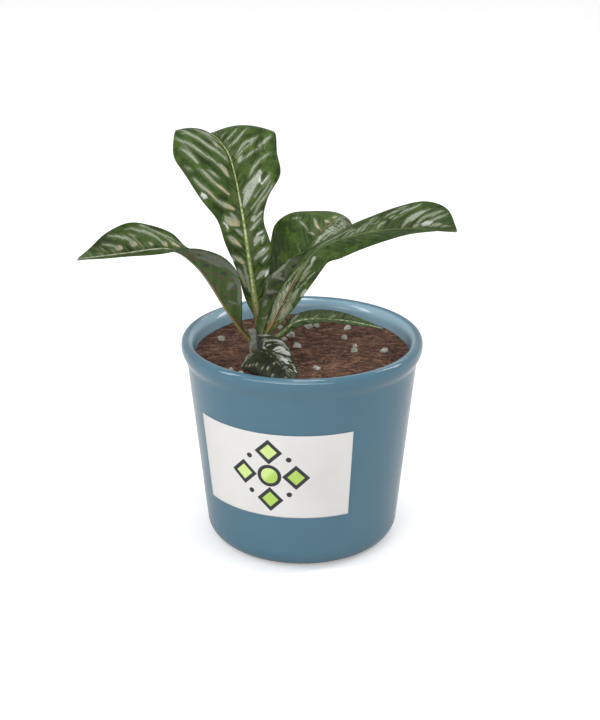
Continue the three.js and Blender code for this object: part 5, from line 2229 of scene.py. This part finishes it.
# ------------------------------ the setting
@dataclass(frozen=True)
class SoftLamp:
    """A soft rectangular lamp that faces its target, in metres and watts."""

    name: str
    place: Point
    target: Point
    width: float
    height: float
    watts: float

    def build(self) -> None:
        """Adds the lamp."""
        data = bpy.data.lights.new(self.name, "AREA")
        data.shape = "RECTANGLE"
        data.size, data.size_y = self.width, self.height
        data.energy = self.watts
        lamp = bpy.data.objects.new(self.name, data)
        lamp.location = self.place
        facing = Vector(self.target) - Vector(self.place)
        lamp.rotation_euler = facing.to_track_quat("-Z", "Y").to_euler()
        bpy.context.scene.collection.objects.link(lamp)


@dataclass
class Studio:
    """The plain pale floor, the soft lights and the camera."""

    camera_place: Point = (-1.3, -1000.0, 516.0)
    camera_pitch: float = 21.76
    lens: float = 85.6
    sensor_width: float = 36
    clip_start: float = 0.01
    floor_size: float = 30.0
    floor_drop: float = 0.1
    floor_tone: Colour = (0.97, 0.97, 0.97)
    floor_bounce: Colour = (0.62, 0.62, 0.62)
    floor_glow: float = 0.2
    floor_roughness: float = 0.9
    floor_gloss: float = 0.1
    white: Colour = (1, 1, 1)
    world_strength: float = 0.64
    sun_side: Point = (-0.22, -0.9, 0.65)
    sun_strength: float = 0.56
    sun_spread: float = 45
    lamps: Sequence[SoftLamp] = (
        SoftLamp("front", (-0.3, -1.25, 0.52), (0, 0, 0.14), 2.2, 0.24, 5.6),
        SoftLamp("top", (0.05, -0.1, 1.3), (0, 0, 0.12), 0.36, 0.24, 3.0),
        SoftLamp("left_strip", (-1.1, -0.3, 0.85), (0, 0, 0.14), 0.3, 0.8, 4.2),
        SoftLamp("right_strip", (1.1, 0.2, 0.85), (0, 0, 0.14), 0.25, 0.8, 4.2),
        SoftLamp("back", (0.4, 1.1, 1.2), (0, 0, 0.12), 0.9, 0.5, 1.8),
    )

    def build(self) -> None:
        """Sets up the camera, the floor, the world and the lamps."""
        self.add_camera()
        self.add_floor()
        self.add_world()
        self.add_sun()
        for lamp in self.lamps:
            lamp.build()
        bpy.context.scene.view_settings.view_transform = "Standard"

    def add_camera(self) -> None:
        """Adds the camera at the fitted viewpoint."""
        data = bpy.data.cameras.new("camera")
        data.lens = self.lens
        data.sensor_width = self.sensor_width
        data.clip_start = self.clip_start
        camera = bpy.data.objects.new("camera", data)
        camera.location = Vector(self.camera_place) * MM
        camera.rotation_euler = (math.radians(90 - self.camera_pitch), 0, 0)
        bpy.context.scene.collection.objects.link(camera)
        bpy.context.scene.camera = camera

    def add_floor(self) -> None:
        """Adds the floor, which isn't part of the object and bounces less light than it shows."""
        half = self.floor_size / 2 / MM
        sides = ((-half, -half), (half, -half), (half, half), (-half, half))
        corners = np.array([(x, y, -self.floor_drop) for x, y in sides])
        material, w, shader = new_material("floor")
        seen = w.node("ShaderNodeLightPath").outputs["Is Camera Ray"]
        w.plug(shader, {
            "Base Color": w.mix(seen, self.floor_bounce, self.floor_tone),
            "Emission Strength": w.math("MULTIPLY", seen, self.floor_glow),
            "Emission Color": self.white,
            "Roughness": self.floor_roughness,
            "Specular IOR Level": self.floor_gloss,
        })
        make_piece("floor", corners, [(0, 1, 2, 3)], [material])

    def add_world(self) -> None:
        """Adds even white light from all round."""
        world = bpy.data.worlds.new("studio")
        world.use_nodes = True
        background = world.node_tree.nodes["Background"]
        Wiring(world.node_tree).plug(background, {"Color": self.white, "Strength": self.world_strength})
        bpy.context.scene.world = world

    def add_sun(self) -> None:
        """Adds broad, even light from one side."""
        data = bpy.data.lights.new("key", "SUN")
        data.energy = self.sun_strength
        data.angle = math.radians(self.sun_spread)
        lamp = bpy.data.objects.new("key", data)
        lamp.rotation_euler = (-Vector(self.sun_side)).to_track_quat("-Z", "Y").to_euler()
        bpy.context.scene.collection.objects.link(lamp)


def main() -> None:
    """Builds the plant, its pot and its setting."""
    logging.basicConfig(level=logging.INFO, format="%(name)s: %(message)s")
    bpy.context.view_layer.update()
    Studio().build()
    mottle, blade_tree = mottle_group(), BladeMaps().build()
    pot = Pot()
    pot.build(GlazeFinish().build(mottle))
    Label(pot).build(PaperFinish())
    soil = Soil(pot)
    ground = SoilFinish().build(mottle, "soil_ground", by_grain=False)
    soil.build(ground, SoilFinish().build(mottle, "soil_crumb", by_grain=True))
    soil.build_perlite(PerliteFinish().build(mottle))
    Cane().build(CaneFinish().build())
    for leaf in (TALL_LEAF, LEFT_LEAF, RIGHT_LEAF, MIDDLE_LEAF, LOW_LEAF, CURLED_LEAF):
        leaf.build(blade_tree)


if __name__ == "__main__":
    main()
